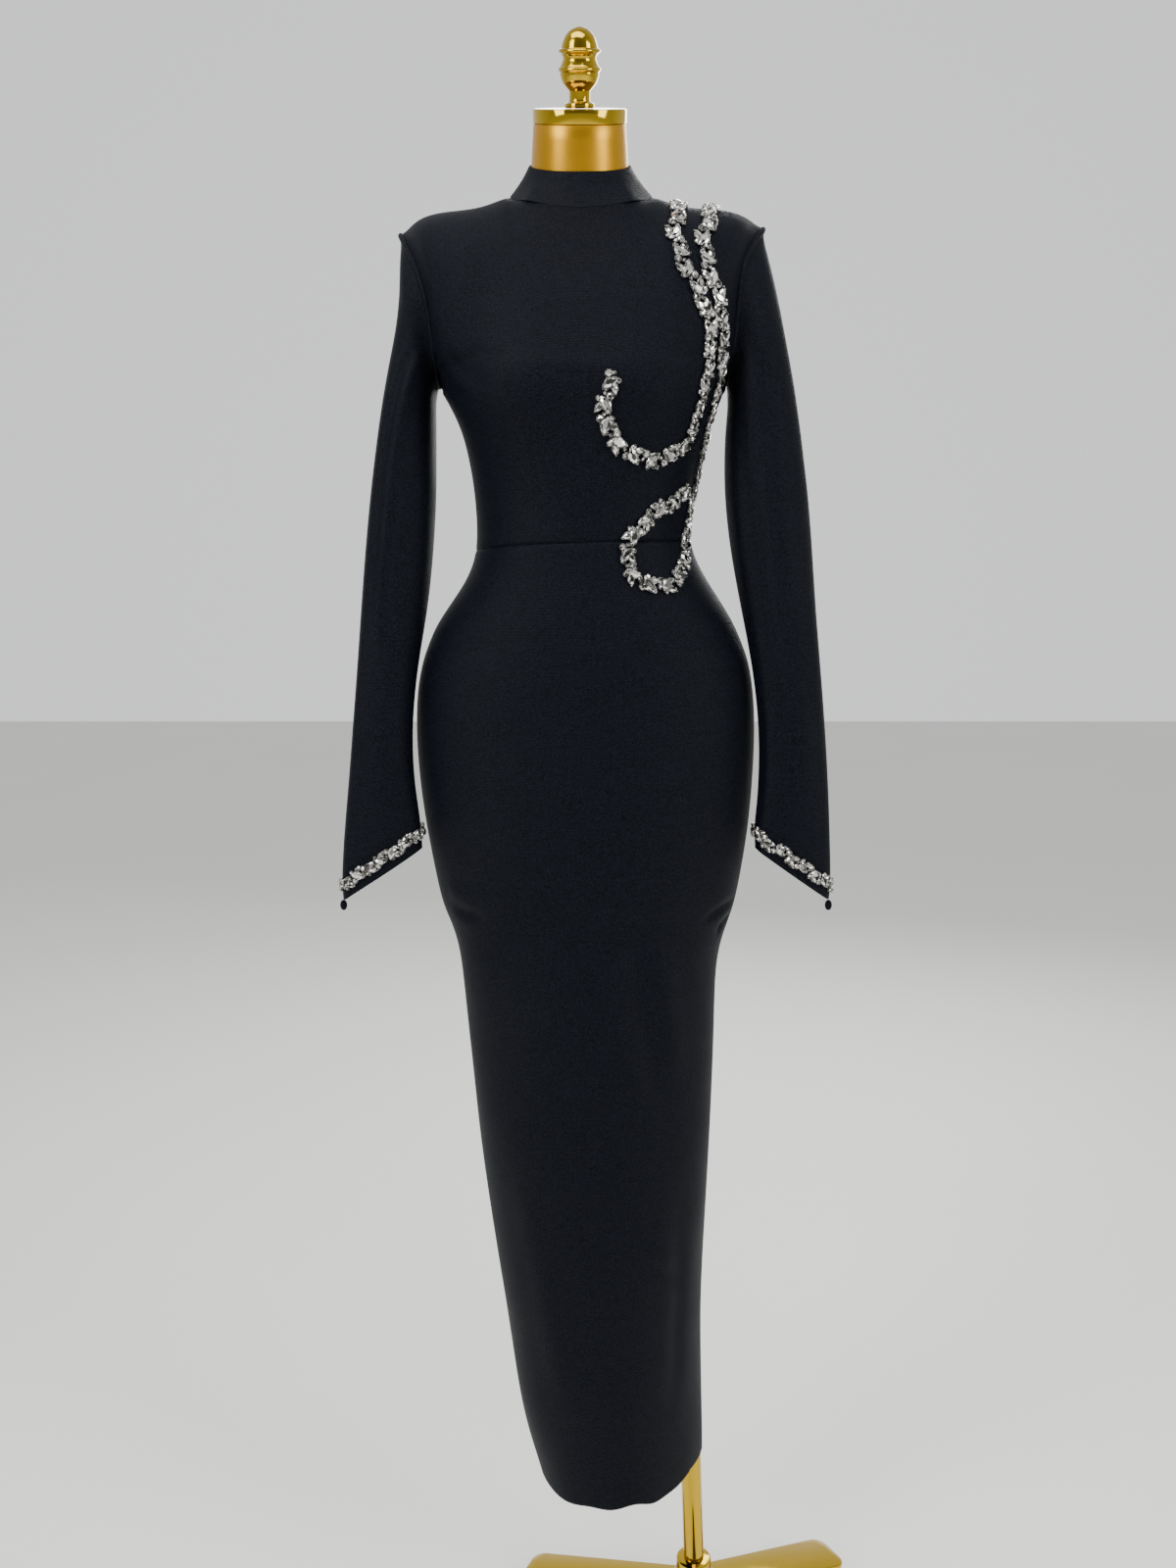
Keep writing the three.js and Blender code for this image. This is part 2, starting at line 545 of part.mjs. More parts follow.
function collarGrid() {
  const toNeck = neckFrame.matrix.clone().invert();
  const seamRing = neckSeamRing().map((point) => point.applyMatrix4(toNeck));
  const last = seamRing.length - 1;
  return COLLAR_ROWS.map((share) => seamRing.map((low, k) => {
    const angle = Math.PI / 2 + (2 * Math.PI * k) / last;
    const ringX = COLLAR_RADIUS * Math.cos(angle);
    const ringY = COLLAR_RADIUS * Math.sin(angle);
    const flare = (1 - share) ** COLLAR_FLARE;
    const x = THREE.MathUtils.lerp(ringX, low.x, flare);
    const y = THREE.MathUtils.lerp(ringY, low.y, flare);
    const z = THREE.MathUtils.lerp(low.z, 0, share);
    return new THREE.Vector3(x, y, z).applyMatrix4(neckFrame.matrix);
  }));
}

const collar = collarGrid();
const collarNormals = gridNormals(collar, false);

// The collar's lower edge and the bodice's neck edge share their normals too.
neckSpots.forEach(({ isFront, i }, k) => {
  const normals = isFront ? frontNormals : backNormals;
  const joined = normals[TOP_ROW][i].clone().add(collarNormals[0][2 * k]).normalize();
  normals[TOP_ROW][i] = joined;
  collarNormals[0][2 * k] = joined;
});
frontNormals[TOP_ROW][SIDE - 4] = backNormals[TOP_ROW][SIDE + 4];
backNormals[TOP_ROW][SIDE - 4] = frontNormals[TOP_ROW][SIDE + 4];
for (let k = 1; k < collarNormals[0].length; k += 2) {
  collarNormals[0][k] = collarNormals[0][k - 1].clone().add(collarNormals[0][k + 1]).normalize();
}

// Panels: part of a trunk grid, its edges drawn in by half a seam's gap, and a wall behind it.

function panel(grid, normals, span, gaps) {
  const { fromRow, toRow, fromColumn, toColumn } = span;
  const outer = [];
  const inner = [];
  for (let j = fromRow; j <= toRow; j += 1) {
    const points = [];
    for (let i = fromColumn; i <= toColumn; i += 1) {
      const point = grid[j][i].clone();
      const pull = (toward, distance) => {
        point.addScaledVector(toward.clone().sub(grid[j][i]).normalize(), distance);
      };
      if (i === fromColumn) pull(grid[j][i + 1], gaps.start(j));
      if (i === toColumn) pull(grid[j][i - 1], gaps.end(j));
      if (j === fromRow) pull(grid[j + 1][i], gaps.low);
      if (j === toRow) pull(grid[j - 1][i], gaps.high);
      points.push(point);
    }
    outer.push(points);
    inner.push(points.map((point, k) => {
      return point.clone().addScaledVector(normals[j][fromColumn + k], -WALL);
    }));
  }
  return wallSolid(outer, inner);
}

const seam = SEAM_GAP / 2;
const sideSeam = () => seam;
const zipSeam = (j) => (j > WAIST_ROW || skirtLevels[j] >= ZIP_END_Z ? ZIP_OPENING : seam);
const armSeam = (j) => (j > UNDERARM_ROW ? 0 : seam);
const bodiceRows = { fromRow: WAIST_ROW, toRow: TOP_ROW };
const skirtRows = { fromRow: 0, toRow: WAIST_ROW };
const seamEnds = { low: seam, high: seam };
const hemEnds = { low: 0, high: seam };

addPiece("bodice_front", panel(front, frontNormals,
  { ...bodiceRows, fromColumn: 0, toColumn: HALF }, { ...seamEnds, start: armSeam, end: armSeam }), cloth);
addPiece("bodice_back_right", panel(back, backNormals,
  { ...bodiceRows, fromColumn: 0, toColumn: SIDE }, { ...seamEnds, start: armSeam, end: zipSeam }), cloth);
addPiece("bodice_back_left", panel(back, backNormals,
  { ...bodiceRows, fromColumn: SIDE, toColumn: HALF },
  { ...seamEnds, start: zipSeam, end: armSeam }), cloth);
addPiece("skirt_front", panel(front, frontNormals,
  { ...skirtRows, fromColumn: 0, toColumn: HALF }, { ...hemEnds, start: sideSeam, end: sideSeam }), cloth);
addPiece("skirt_back_right", panel(back, backNormals,
  { ...skirtRows, fromColumn: 0, toColumn: SIDE }, { ...hemEnds, start: sideSeam, end: zipSeam }), cloth);
addPiece("skirt_back_left", panel(back, backNormals,
  { ...skirtRows, fromColumn: SIDE, toColumn: HALF }, { ...hemEnds, start: zipSeam, end: sideSeam }), cloth);

// The collar's wall, with its opening at the back.
const collarSpan = {
  fromRow: 0,
  toRow: COLLAR_ROWS.length - 1,
  fromColumn: 0,
  toColumn: collar[0].length - 1,
};
const collarGaps = { low: SEAM_GAP, high: 0, start: () => ZIP_OPENING, end: () => ZIP_OPENING };
addPiece("collar", panel(collar, collarNormals, collarSpan, collarGaps), cloth);

// Zip: the closed coil is a narrow strip in the opening between the back panels.

function zipGrid() {
  const path = [];
  for (let j = skirtLevels.indexOf(ZIP_END_Z); j <= TOP_ROW; j += 1) {
    path.push({ point: back[j][SIDE], normal: backNormals[j][SIDE] });
  }
  for (let k = 1; k < collar.length; k += 1) {
    const point = collar[k][0].clone().lerp(collar[k][collar[k].length - 1], 0.5);
    const normal = collarNormals[k][0].clone().add(collarNormals[k][collar[k].length - 1]).normalize();
    path.push({ point, normal });
  }
  const across = [1, -1].map((side) => new THREE.Vector3(side * ZIP_HALF_WIDTH, 0, 0));
  const outer = path.map(({ point }) => across.map((offset) => point.clone().add(offset)));
  const inner = path.map(({ point, normal }) => across.map((offset) => {
    return point.clone().add(offset).addScaledVector(normal, -WALL);
  }));
  return wallSolid(outer, inner);
}
addPiece("zip_coil", zipGrid(), zipCoil);

// Points on the faceted trunk, for what lies on it. Columns count from the left side round the front,
// the right side and the back; every quad is split from its low left corner to its high right one.

function ringPoint(grids, column, j) {
  return column <= HALF ? grids.front[j][column] : grids.back[j][column - HALF];
}

function onFacets(corner, u, v, lastRow) {
  const i = Math.floor(u);
  const j = Math.min(Math.floor(v), lastRow - 1);
  const a = u - i;
  const b = v - j;
  const low = corner(i, j).clone();
  const far = corner(i + 1, j + 1);
  if (a >= b) {
    const right = corner(i + 1, j);
    low.addScaledVector(right.clone().sub(corner(i, j)), a);
    return low.addScaledVector(far.clone().sub(right), b);
  }
  const up = corner(i, j + 1);
  return low.addScaledVector(up.clone().sub(corner(i, j)), b).addScaledVector(far.clone().sub(up), a);
}

const trunkGrids = { front, back };
const trunkNormals = { front: gridNormals(front, false), back: gridNormals(back, false) };
const onTrunk = (u, v) => onFacets((i, j) => ringPoint(trunkGrids, i, j), u, v, TOP_ROW);
const trunkNormal = (u, v) => onFacets((i, j) => ringPoint(trunkNormals, i, j), u, v, TOP_ROW).normalize();

function rowAtHeight(u, z) {
  let low = 0;
  let high = TOP_ROW;
  for (let k = 0; k < 40; k += 1) {
    const middle = (low + high) / 2;
    if (onTrunk(u, middle).z < z) low = middle;
    else high = middle;
  }
  return (low + high) / 2;
}

// One band of crystal clusters along a path on the facets. It is low between clusters and high at
// their middles, over a plain underside.
const ACROSS = [-1, -0.4, 0.4, 1];
const FACET_SAMPLES = [0.2, 0.35, 0.5, 0.65, 0.8];
const RISE_ALLOWANCE = 1.6;

// The cloth's facets rise between two stations, so a band lies that much higher over them.
function bandClearances(spots, surface, normalAt, wrap = null) {
  const clears = spots.map((row) => row.map(() => TRIM_CLEAR));
  const last = wrap ? spots.length : spots.length - 1;
  for (let k = 0; k < last; k += 1) {
    const next = (k + 1) % spots.length;
    ACROSS.forEach((_, n) => {
      const from = spots[k][n];
      const to = { u: spots[next][n].u + (next === 0 ? wrap : 0), v: spots[next][n].v };
      const ends = [surface(from.u, from.v), surface(to.u, to.v)];
      for (const share of FACET_SAMPLES) {
        const u = THREE.MathUtils.lerp(from.u, to.u, share);
        const v = THREE.MathUtils.lerp(from.v, to.v, share);
        const rise = surface(u, v).sub(ends[0].clone().lerp(ends[1], share)).dot(normalAt(u, v));
        clears[k][n] = Math.max(clears[k][n], TRIM_CLEAR + rise * RISE_ALLOWANCE);
        clears[next][n] = Math.max(clears[next][n], TRIM_CLEAR + rise * RISE_ALLOWANCE);
      }
    });
  }
  return clears;
}

function bandSolid(stations, surface, normalAt) {
  const spots = stations.map((station, k) => {
    const before = stations[Math.max(k - 1, 0)];
    const after = stations[Math.min(k + 1, stations.length - 1)];
    const point = surface(station.u, station.v);
    const ahead = surface(after.u, after.v).sub(surface(before.u, before.v)).normalize();
    const cross = ahead.clone().cross(normalAt(station.u, station.v)).normalize();
    const step = 0.05;
    const alongU = surface(station.u + step, station.v).sub(point).divideScalar(step);
    const alongV = surface(station.u, station.v - step).sub(point).divideScalar(-step);
    const uu = alongU.dot(alongU);
    const uv = alongU.dot(alongV);
    const vv = alongV.dot(alongV);
    const pu = alongU.dot(cross);
    const pv = alongV.dot(cross);
    const du = (pu * vv - pv * uv) / (uu * vv - uv * uv);
    const dv = (pv * uu - pu * uv) / (uu * vv - uv * uv);
    const halfWidth = TRIM_HALF_WIDTH * (k % 2 === 1 ? 1 : TRIM_WAIST);
    return ACROSS.map((share) => {
      return { u: station.u + du * halfWidth * share, v: station.v + dv * halfWidth * share };
    });
  });
  const clears = bandClearances(spots, surface, normalAt);
  const inner = spots.map((row, k) => row.map(({ u, v }, n) => {
    return surface(u, v).addScaledVector(normalAt(u, v), clears[k][n]);
  }));
  const outer = inner.map((row, k) => row.map((foot, n) => {
    return foot.clone().addScaledVector(normalAt(stations[k].u, stations[k].v), trimHeight(k, n));
  }));
  return wallSolid(outer, inner);
}

function trimHeight(k, n) {
  if (n === 0 || n === ACROSS.length - 1) return TRIM_LOW;
  return k % 2 === 1 ? TRIM_HIGH : TRIM_JOINT;
}

function trunkBand(table) {
  const spot = ({ round, z }) => {
    const u = SIDE + round / COLUMN_DEG;
    return { u, v: Math.min(rowAtHeight(u, z), TOP_ROW - 0.02) };
  };
  const onSurface = (t, path) => {
    const { x, y } = path.getPoint(t);
    return spot({ round: x, z: y });
  };
  const path = new THREE.CatmullRomCurve3(table.map(({ round, z }) => new THREE.Vector3(round, z, 0)));
  const fine = 400;
  const lengths = [0];
  let last = onSurface(0, path);
  for (let k = 1; k <= fine; k += 1) {
    const next = onSurface(k / fine, path);
    lengths.push(lengths[k - 1] + onTrunk(next.u, next.v).distanceTo(onTrunk(last.u, last.v)));
    last = next;
  }
  const steps = 2 * Math.round(lengths[fine] / TRIM_PITCH);
  const stations = [];
  let at = 0;
  for (let k = 0; k <= steps; k += 1) {
    const wanted = (lengths[fine] * k) / steps;
    while (at < fine - 1 && lengths[at + 1] < wanted) at += 1;
    const part = (wanted - lengths[at]) / (lengths[at + 1] - lengths[at]);
    stations.push(onSurface(Math.min((at + part) / fine, 1), path));
  }
  return bandSolid(stations, onTrunk, trunkNormal);
}
addPiece("trim_bust", trunkBand(TRIM_BUST), crystal);
addPiece("trim_side", trunkBand(TRIM_SIDE), crystal);

function cuffBand({ grid }) {
  const count = grid[0].length;
  const wrap = (i) => ((i % count) + count) % count;
  const normals = gridNormals(grid, true);
  const { low, high } = CUFF_TRIM_ROWS;
  const surface = (u, v) => onFacets((i, j) => grid[j][wrap(i)], u, v, grid.length - 1);
  const normalAt = (u, v) => onFacets((i, j) => normals[j][wrap(i)], u, v, grid.length - 1).normalize();
  const steps = 2 * CUFF_CLUSTERS;
  const spots = [];
  for (let k = 0; k < steps; k += 1) {
    const narrow = k % 2 === 1 ? 1 : TRIM_WAIST;
    spots.push(ACROSS.map((share) => {
      return { u: (k * count) / steps, v: THREE.MathUtils.lerp(high, low, (1 + share * narrow) / 2) };
    }));
  }
  const clears = bandClearances(spots, surface, normalAt, count);
  const outer = ACROSS.map(() => []);
  const inner = ACROSS.map(() => []);
  spots.forEach((row, k) => row.forEach(({ u, v }, n) => {
    const normal = normalAt(u, v);
    const foot = surface(u, v).addScaledVector(normal, clears[k][n]);
    inner[n].push(foot);
    outer[n].push(foot.clone().addScaledVector(normal, trimHeight(k, n)));
  }));
  return wallSolid(outer, inner, true);
}
addPiece("trim_cuff_left", cuffBand(sleeveLeft), crystal);
addPiece("trim_cuff_right", cuffBand(sleeveRight), crystal);

// Knobs at the cuffs' points.
const KNOB = { radius: 3.6, stretch: 1.5 };

function addKnob(name, { grid }) {
  const tip = grid[grid.length - 1][0];
  const shape = new THREE.SphereGeometry(KNOB.radius, 10, 6);
  shape.rotateX(Math.PI / 2);
  shape.scale(1, 1, KNOB.stretch);
  shape.deleteAttribute("normal");
  shape.deleteAttribute("uv");
  const knob = addPiece(name, mergeVertices(shape), cloth);
  const side = Math.sign(tip.x);
  knob.position.set(tip.x - side * WALL / 2, tip.y, tip.z - KNOB.radius * KNOB.stretch - SEAM_GAP);
}
addKnob("cuff_knob_left", sleeveLeft);
addKnob("cuff_knob_right", sleeveRight);

// Turned pieces on the neck's axis: each outline is a list of height and radius from the axis.

function turned(outline, sides) {
  const points = outline.map(([height, radius]) => new THREE.Vector2(radius, height));
  const shape = new THREE.LatheGeometry(points, sides);
  shape.rotateX(Math.PI / 2);
  shape.deleteAttribute("normal");
  shape.deleteAttribute("uv");
  return solidFromFaces(pointsOf(shape), Array.from(shape.index.array));
}

function pointsOf(shape) {
  const position = shape.getAttribute("position");
  const points = [];
  for (let k = 0; k < position.count; k += 1) {
    points.push(new THREE.Vector3().fromBufferAttribute(position, k));
  }
  return points;
}

const CAP_LOW = 36.5;
const CAP_HIGH = 49;
addPiece("neck_block", turned([[-29.7, 0], [-29.7, 50.4], [-15, 48.8], [0, 47.2], [12, 46], [24, 44.8],
  [CAP_LOW - SEAM_GAP, 43.8], [CAP_LOW - SEAM_GAP, 0]], 28), satinGold, neckFrame);
addPiece("neck_cap", turned([[CAP_LOW, 0], [CAP_LOW, 43.4], [CAP_LOW + 1, 44.4], [CAP_HIGH - 2, 44.4],
  [CAP_HIGH, 42.8], [CAP_HIGH, 0]], 28), polishedGold, neckFrame);
const finial = addPiece("finial", turned([[0, 0], [0, 13.5], [4, 13.5], [5, 11], [6.6, 9.8], [14.2, 9.8],
  [16, 11.6], [20.5, 15.8], [26.3, 18], [29.3, 18.2], [31.8, 19.9], [34, 18.2], [40.3, 15.4], [44.3, 17.2],
  [46.8, 19.7], [49, 17], [53, 16], [58.5, 13.6], [63.5, 8.8], [66.6, 0]], 20), polishedGold, neckFrame);
finial.position.z = CAP_HIGH + SEAM_GAP;

// Stand: a slightly leaning pole from a three-armed base up into the form.

function standPiece(name, outline, sides, material, x, z) {
  const piece = addPiece(name, turned(outline, sides), material);
  piece.position.set(x, POLE.y, z);
  return piece;
}

const poleLength = POLE.topZ - POLE.footZ;
const poleShape = new THREE.CylinderGeometry(POLE.radius, POLE.radius, poleLength, 20);
poleShape.rotateX(Math.PI / 2);
poleShape.deleteAttribute("normal");
poleShape.deleteAttribute("uv");
const pole = addPiece("pole", mergeVertices(poleShape), polishedGold);
pole.position.set((POLE.footX + POLE.topX) / 2, POLE.y, (POLE.footZ + POLE.topZ) / 2);
pole.rotation.y = Math.atan2(POLE.topX - POLE.footX, poleLength);

standPiece("pole_socket", [[0, 0], [0, SOCKET.radius], [SOCKET.height, SOCKET.radius], [SOCKET.height, 0]],
  24, polishedGold, POLE.topX, SOCKET.topZ - SOCKET.height);
standPiece("hub", [[HUB.lowZ, 0], [HUB.lowZ, HUB.radius], [HUB.shoulderZ, HUB.radius],
  [HUB.shoulderZ + 3, HUB.collarRadius], [HUB.topZ - 2, HUB.collarRadius], [HUB.topZ, HUB.collarRadius - 2],
  [HUB.topZ - 0.3, 0]], 24, polishedGold, POLE.footX, 0);

// An arm from above is a bar with rounded corners at its tip. Its top slopes both ways from a ridge.
function armSolid() {
  const length = ARM.reach - ARM.start;
  const half = ARM.width / 2;
  const plan = [[0, -half]];
  for (const side of [-1, 1]) {
    for (let k = 0; k <= 4; k += 1) {
      const angle = (Math.PI / 8) * k - (side < 0 ? Math.PI / 2 : 0);
      const along = length - ARM.corner * (1 - Math.cos(angle));
      plan.push([along, side * (half - ARM.corner) + ARM.corner * Math.sin(angle)]);
    }
  }
  plan.push([0, half]);
  const count = plan.length;
  const points = [];
  for (const z of [0, ARM.edge]) plan.forEach(([x, y]) => points.push(new THREE.Vector3(x, y, z)));
  points.push(new THREE.Vector3(0, 0, ARM.ridge), new THREE.Vector3(length - ARM.corner, 0, ARM.ridge));
  const [ridgeStart, ridgeEnd] = [2 * count, 2 * count + 1];
  const triangles = [];
  for (let k = 1; k < count - 1; k += 1) triangles.push(0, k + 1, k);
  for (let k = 0; k < count; k += 1) {
    const next = (k + 1) % count;
    const [a, b] = [count + k, count + next];
    triangles.push(k, next, b, k, b, a);
    triangles.push(a, b, k === count - 1 || next === count - 1 ? ridgeStart : ridgeEnd);
    if (k === 0) triangles.push(a, ridgeEnd, ridgeStart);
    if (next === count - 1) triangles.push(a, ridgeStart, ridgeEnd);
  }
  return solidFromFaces(points, triangles);
}

ARM_DIRECTIONS.forEach((direction, k) => {
  const turn = new THREE.Group();
  turn.position.set(POLE.footX, POLE.y, 0);
  turn.rotation.z = THREE.MathUtils.degToRad(direction);
  dress.add(turn);
  const arm = addPiece(`arm_${k + 1}`, armSolid(), polishedGold, turn);
  arm.position.set(ARM.start, 0, ARM.hubZ);
  const slope = (ARM.hubZ - ARM.tipZ) / (ARM.reach - ARM.start);
  arm.rotation.y = Math.atan(slope);
  const stemTop = ARM.hubZ - (FOOT.reach + FOOT.stemRadius - ARM.start) * slope;
  const foot = addPiece(`foot_${k + 1}`, turned([[0, 0], [0, FOOT.radius - 1], [1, FOOT.radius],
    [FOOT.height, FOOT.radius], [FOOT.height, FOOT.stemRadius], [stemTop - 0.5, FOOT.stemRadius],
    [stemTop - 0.5, 0]], 20), rubber, turn);
  foot.position.set(FOOT.reach, 0, 0);
});

// Zip slider and its pull tab, on the collar just under its top edge. In this group +Y points out
// of the cloth and +Z runs up the zip.
const SLIDER = { width: 6.4, length: 8.6, thickness: 2.2, crownWidth: 2.6, crownLength: 4.6, crownTop: 5.8 };
const PIN = { radius: 0.6, hole: 0.95, out: 4 };
const PULL = { width: 5.6, length: 21, thickness: 1, armLength: 4.2, armWidth: 1 };

function toSolid(geometry) {
  const shape = geometry.clone();
  shape.deleteAttribute("normal");
  shape.deleteAttribute("uv");
  const merged = mergeVertices(shape, 1e-4);
  return new wasm.Manifold(new wasm.Mesh({
    numProp: 3,
    vertProperties: new Float32Array(merged.getAttribute("position").array),
    triVerts: new Uint32Array(merged.index.array),
  }));
}

function fromSolid(solid) {
  const mesh = solid.getMesh();
  const geometry = new THREE.BufferGeometry();
  geometry.setAttribute("position", new THREE.BufferAttribute(mesh.vertProperties, 3));
  geometry.setIndex(new THREE.BufferAttribute(mesh.triVerts, 1));
  return geometry;
}

function block(width, depth, height, x, y, z) {
  return toSolid(new THREE.BoxGeometry(width, depth, height).translate(x, y, z));
}

function rod(radius, length) {
  return toSolid(new THREE.CylinderGeometry(radius, radius, length, 12).rotateZ(Math.PI / 2)
    .translate(0, PIN.out, 0));
}

function sliderSolid() {
  const base = block(SLIDER.width, SLIDER.thickness, SLIDER.length, 0, SEAM_GAP + SLIDER.thickness / 2, 0);
  const rise = SLIDER.crownTop - SLIDER.thickness;
  const crown = block(SLIDER.crownWidth, rise, SLIDER.crownLength, 0, SLIDER.crownTop - rise / 2, 0);
  return base.add(crown).subtract(rod(PIN.hole, SLIDER.width * 2));
}

function pullSolid() {
  const armX = SLIDER.crownWidth / 2 + SEAM_GAP + PULL.armWidth / 2;
  let pull = rod(PIN.radius, 2 * armX + PULL.armWidth);
  for (const side of [-1, 1]) {
    pull = pull.add(block(PULL.armWidth, PULL.thickness, PULL.armLength, side * armX, PIN.out,
      0.5 - PULL.armLength / 2));
  }
  const plateLength = PULL.length - PULL.armLength;
  const plate = new THREE.Shape();
  const half = PULL.width / 2;
  plate.moveTo(-half * 0.9, 0);
  plate.lineTo(half * 0.9, 0);
  plate.lineTo(half, -(plateLength - half));
  plate.absarc(0, -(plateLength - half), half, 0, -Math.PI, true);
  plate.closePath();
  const asCut = { depth: PULL.thickness, bevelEnabled: false, curveSegments: 8 };
  const slab = new THREE.ExtrudeGeometry(plate, asCut);
  slab.rotateX(Math.PI / 2);
  slab.translate(0, PIN.out + PULL.thickness / 2, 1 - PULL.armLength);
  return pull.add(toSolid(slab));
}

const zipTop = collar.map((row) => row[0].clone().lerp(row[row.length - 1], 0.5));
const zipUp = zipTop[3].clone().sub(zipTop[2]).normalize();
const zipOut = new THREE.Vector3(0, zipUp.z, -zipUp.y);
const sliderFrame = new THREE.Group();
sliderFrame.position.copy(zipTop[3]).addScaledVector(zipUp, -SLIDER.length / 2 - 1);
sliderFrame.rotation.x = Math.atan2(-zipUp.y, zipUp.z);
dress.add(sliderFrame);
addPiece("zip_slider", fromSolid(sliderSolid()), zipMetal, sliderFrame);
addPiece("zip_pull", fromSolid(pullSolid()), zipMetal, sliderFrame);

export default dress;
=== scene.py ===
# %% [markdown]
# A black knitted maxi dress, sewn with bands of clear stones, stands on a gold display form. The solids
# of the dress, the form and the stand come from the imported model, in metres. This notebook dresses them:
# it makes smooth cloth with its folds and seams, cut stones in their settings, a zip, and turned gold.
# The first cell loads the model and keeps its box, so that the finished look can be set against it.

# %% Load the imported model
import math
import random

import bmesh
import bpy
import numpy
from mathutils import Matrix, Vector, kdtree
from mathutils.bvhtree import BVHTree


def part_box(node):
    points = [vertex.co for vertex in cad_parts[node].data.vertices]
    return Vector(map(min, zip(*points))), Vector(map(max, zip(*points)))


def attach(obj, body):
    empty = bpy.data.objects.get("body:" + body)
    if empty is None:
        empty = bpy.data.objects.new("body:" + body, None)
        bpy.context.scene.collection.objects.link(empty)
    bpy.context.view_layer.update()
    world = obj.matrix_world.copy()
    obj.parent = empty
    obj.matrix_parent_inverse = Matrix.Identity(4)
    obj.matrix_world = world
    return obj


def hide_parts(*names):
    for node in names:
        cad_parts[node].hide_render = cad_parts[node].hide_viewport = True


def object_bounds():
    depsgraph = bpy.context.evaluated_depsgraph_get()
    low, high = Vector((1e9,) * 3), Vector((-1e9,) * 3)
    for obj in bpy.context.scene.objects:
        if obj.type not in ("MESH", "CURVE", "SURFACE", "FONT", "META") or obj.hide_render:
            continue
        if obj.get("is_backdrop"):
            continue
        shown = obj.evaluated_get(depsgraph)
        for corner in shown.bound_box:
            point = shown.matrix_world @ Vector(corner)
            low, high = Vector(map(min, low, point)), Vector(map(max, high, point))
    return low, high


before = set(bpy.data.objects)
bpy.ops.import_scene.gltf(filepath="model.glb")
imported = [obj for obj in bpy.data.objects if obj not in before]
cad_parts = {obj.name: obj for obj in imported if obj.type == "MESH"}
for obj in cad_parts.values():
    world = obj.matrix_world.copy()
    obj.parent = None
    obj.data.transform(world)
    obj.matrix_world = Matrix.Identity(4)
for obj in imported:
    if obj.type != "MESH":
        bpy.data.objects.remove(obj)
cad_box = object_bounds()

MM = 0.001
print("nodes:", len(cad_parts))

# %% [markdown]
# The camera stands where the photo was taken from: chest high, close, tipped down a little. A photo
# that is taller than it is wide is matched with the sensor fitted to its height. From the lens and the
# tilt, a spot in the photo also gives a line into the scene, which later helps to lay the folds.

# %% Camera and lines of sight
PHOTO_WIDTH, PHOTO_HEIGHT = 1200, 1600
FOCAL_PIXELS = 1307
SENSOR_HEIGHT = 36
CAMERA_PLACE = Vector((-0.029, -1.279, 1.172))
CAMERA_TILT = math.radians(7.84)

camera_data = bpy.data.cameras.new("photo_camera")
camera_data.sensor_fit = "VERTICAL"
camera_data.sensor_height = SENSOR_HEIGHT
camera_data.lens = FOCAL_PIXELS / PHOTO_HEIGHT * SENSOR_HEIGHT
camera = bpy.data.objects.new("photo_camera", camera_data)
camera.location = CAMERA_PLACE
camera.rotation_euler = (math.radians(90) - CAMERA_TILT, 0, 0)
bpy.context.collection.objects.link(camera)
bpy.context.scene.camera = camera


def sight_line(across, down):
    """The direction from the camera through a spot of the photo."""
    inside = Vector((across - PHOTO_WIDTH / 2, PHOTO_HEIGHT / 2 - down, -FOCAL_PIXELS))
    return (camera.rotation_euler.to_matrix() @ inside).normalized()


print("lens:", round(camera_data.lens, 2), "mm")

# %% [markdown]
# A pale floor and large soft lamps make a plain studio. A polished metal shows little but its
# surroundings, so the world is bright behind the dress and dim in front of it, as a room lit from its
# far end is. Gold then gets bright bands beside dark ones, and black cloth stays black.

# %% Floor and light
FLOOR_SIZE = 24.0
WORLD_GREY = (0.84, 0.85, 0.85, 1)
WORLD_IN_FRONT, WORLD_BEHIND = 0.22, 1.2

floor_shape = bmesh.new()
bmesh.ops.create_grid(floor_shape, x_segments=1, y_segments=1, size=FLOOR_SIZE / 2)
floor_mesh = bpy.data.meshes.new("floor")
floor_shape.to_mesh(floor_mesh)
floor_shape.free()
floor = bpy.data.objects.new("floor", floor_mesh)
bpy.context.collection.objects.link(floor)
floor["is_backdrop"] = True

world = bpy.data.worlds.new("studio")
world.use_nodes = True
sky = world.node_tree
sky.nodes["Background"].inputs["Color"].default_value = WORLD_GREY
direction = sky.nodes.new("ShaderNodeTexCoord")
direction_parts = sky.nodes.new("ShaderNodeSeparateXYZ")
sky.links.new(direction.outputs["Generated"], direction_parts.inputs[0])
brightness = sky.nodes.new("ShaderNodeMapRange")
brightness.inputs["From Min"].default_value = -1
brightness.inputs["To Min"].default_value = WORLD_IN_FRONT
brightness.inputs["To Max"].default_value = WORLD_BEHIND
sky.links.new(direction_parts.outputs["Y"], brightness.inputs["Value"])
sky.links.new(brightness.outputs["Result"], sky.nodes["Background"].inputs["Strength"])
bpy.context.scene.world = world


def add_lamp(name, place, target, size, power):
    """A soft rectangular lamp that looks at a point."""
    data = bpy.data.lights.new(name, "AREA")
    data.shape = "RECTANGLE"
    data.size, data.size_y = size
    data.energy = power
    lamp = bpy.data.objects.new(name, data)
    lamp.location = place
    lamp.rotation_euler = (Vector(target) - Vector(place)).to_track_quat("-Z", "Y").to_euler()
    bpy.context.collection.objects.link(lamp)


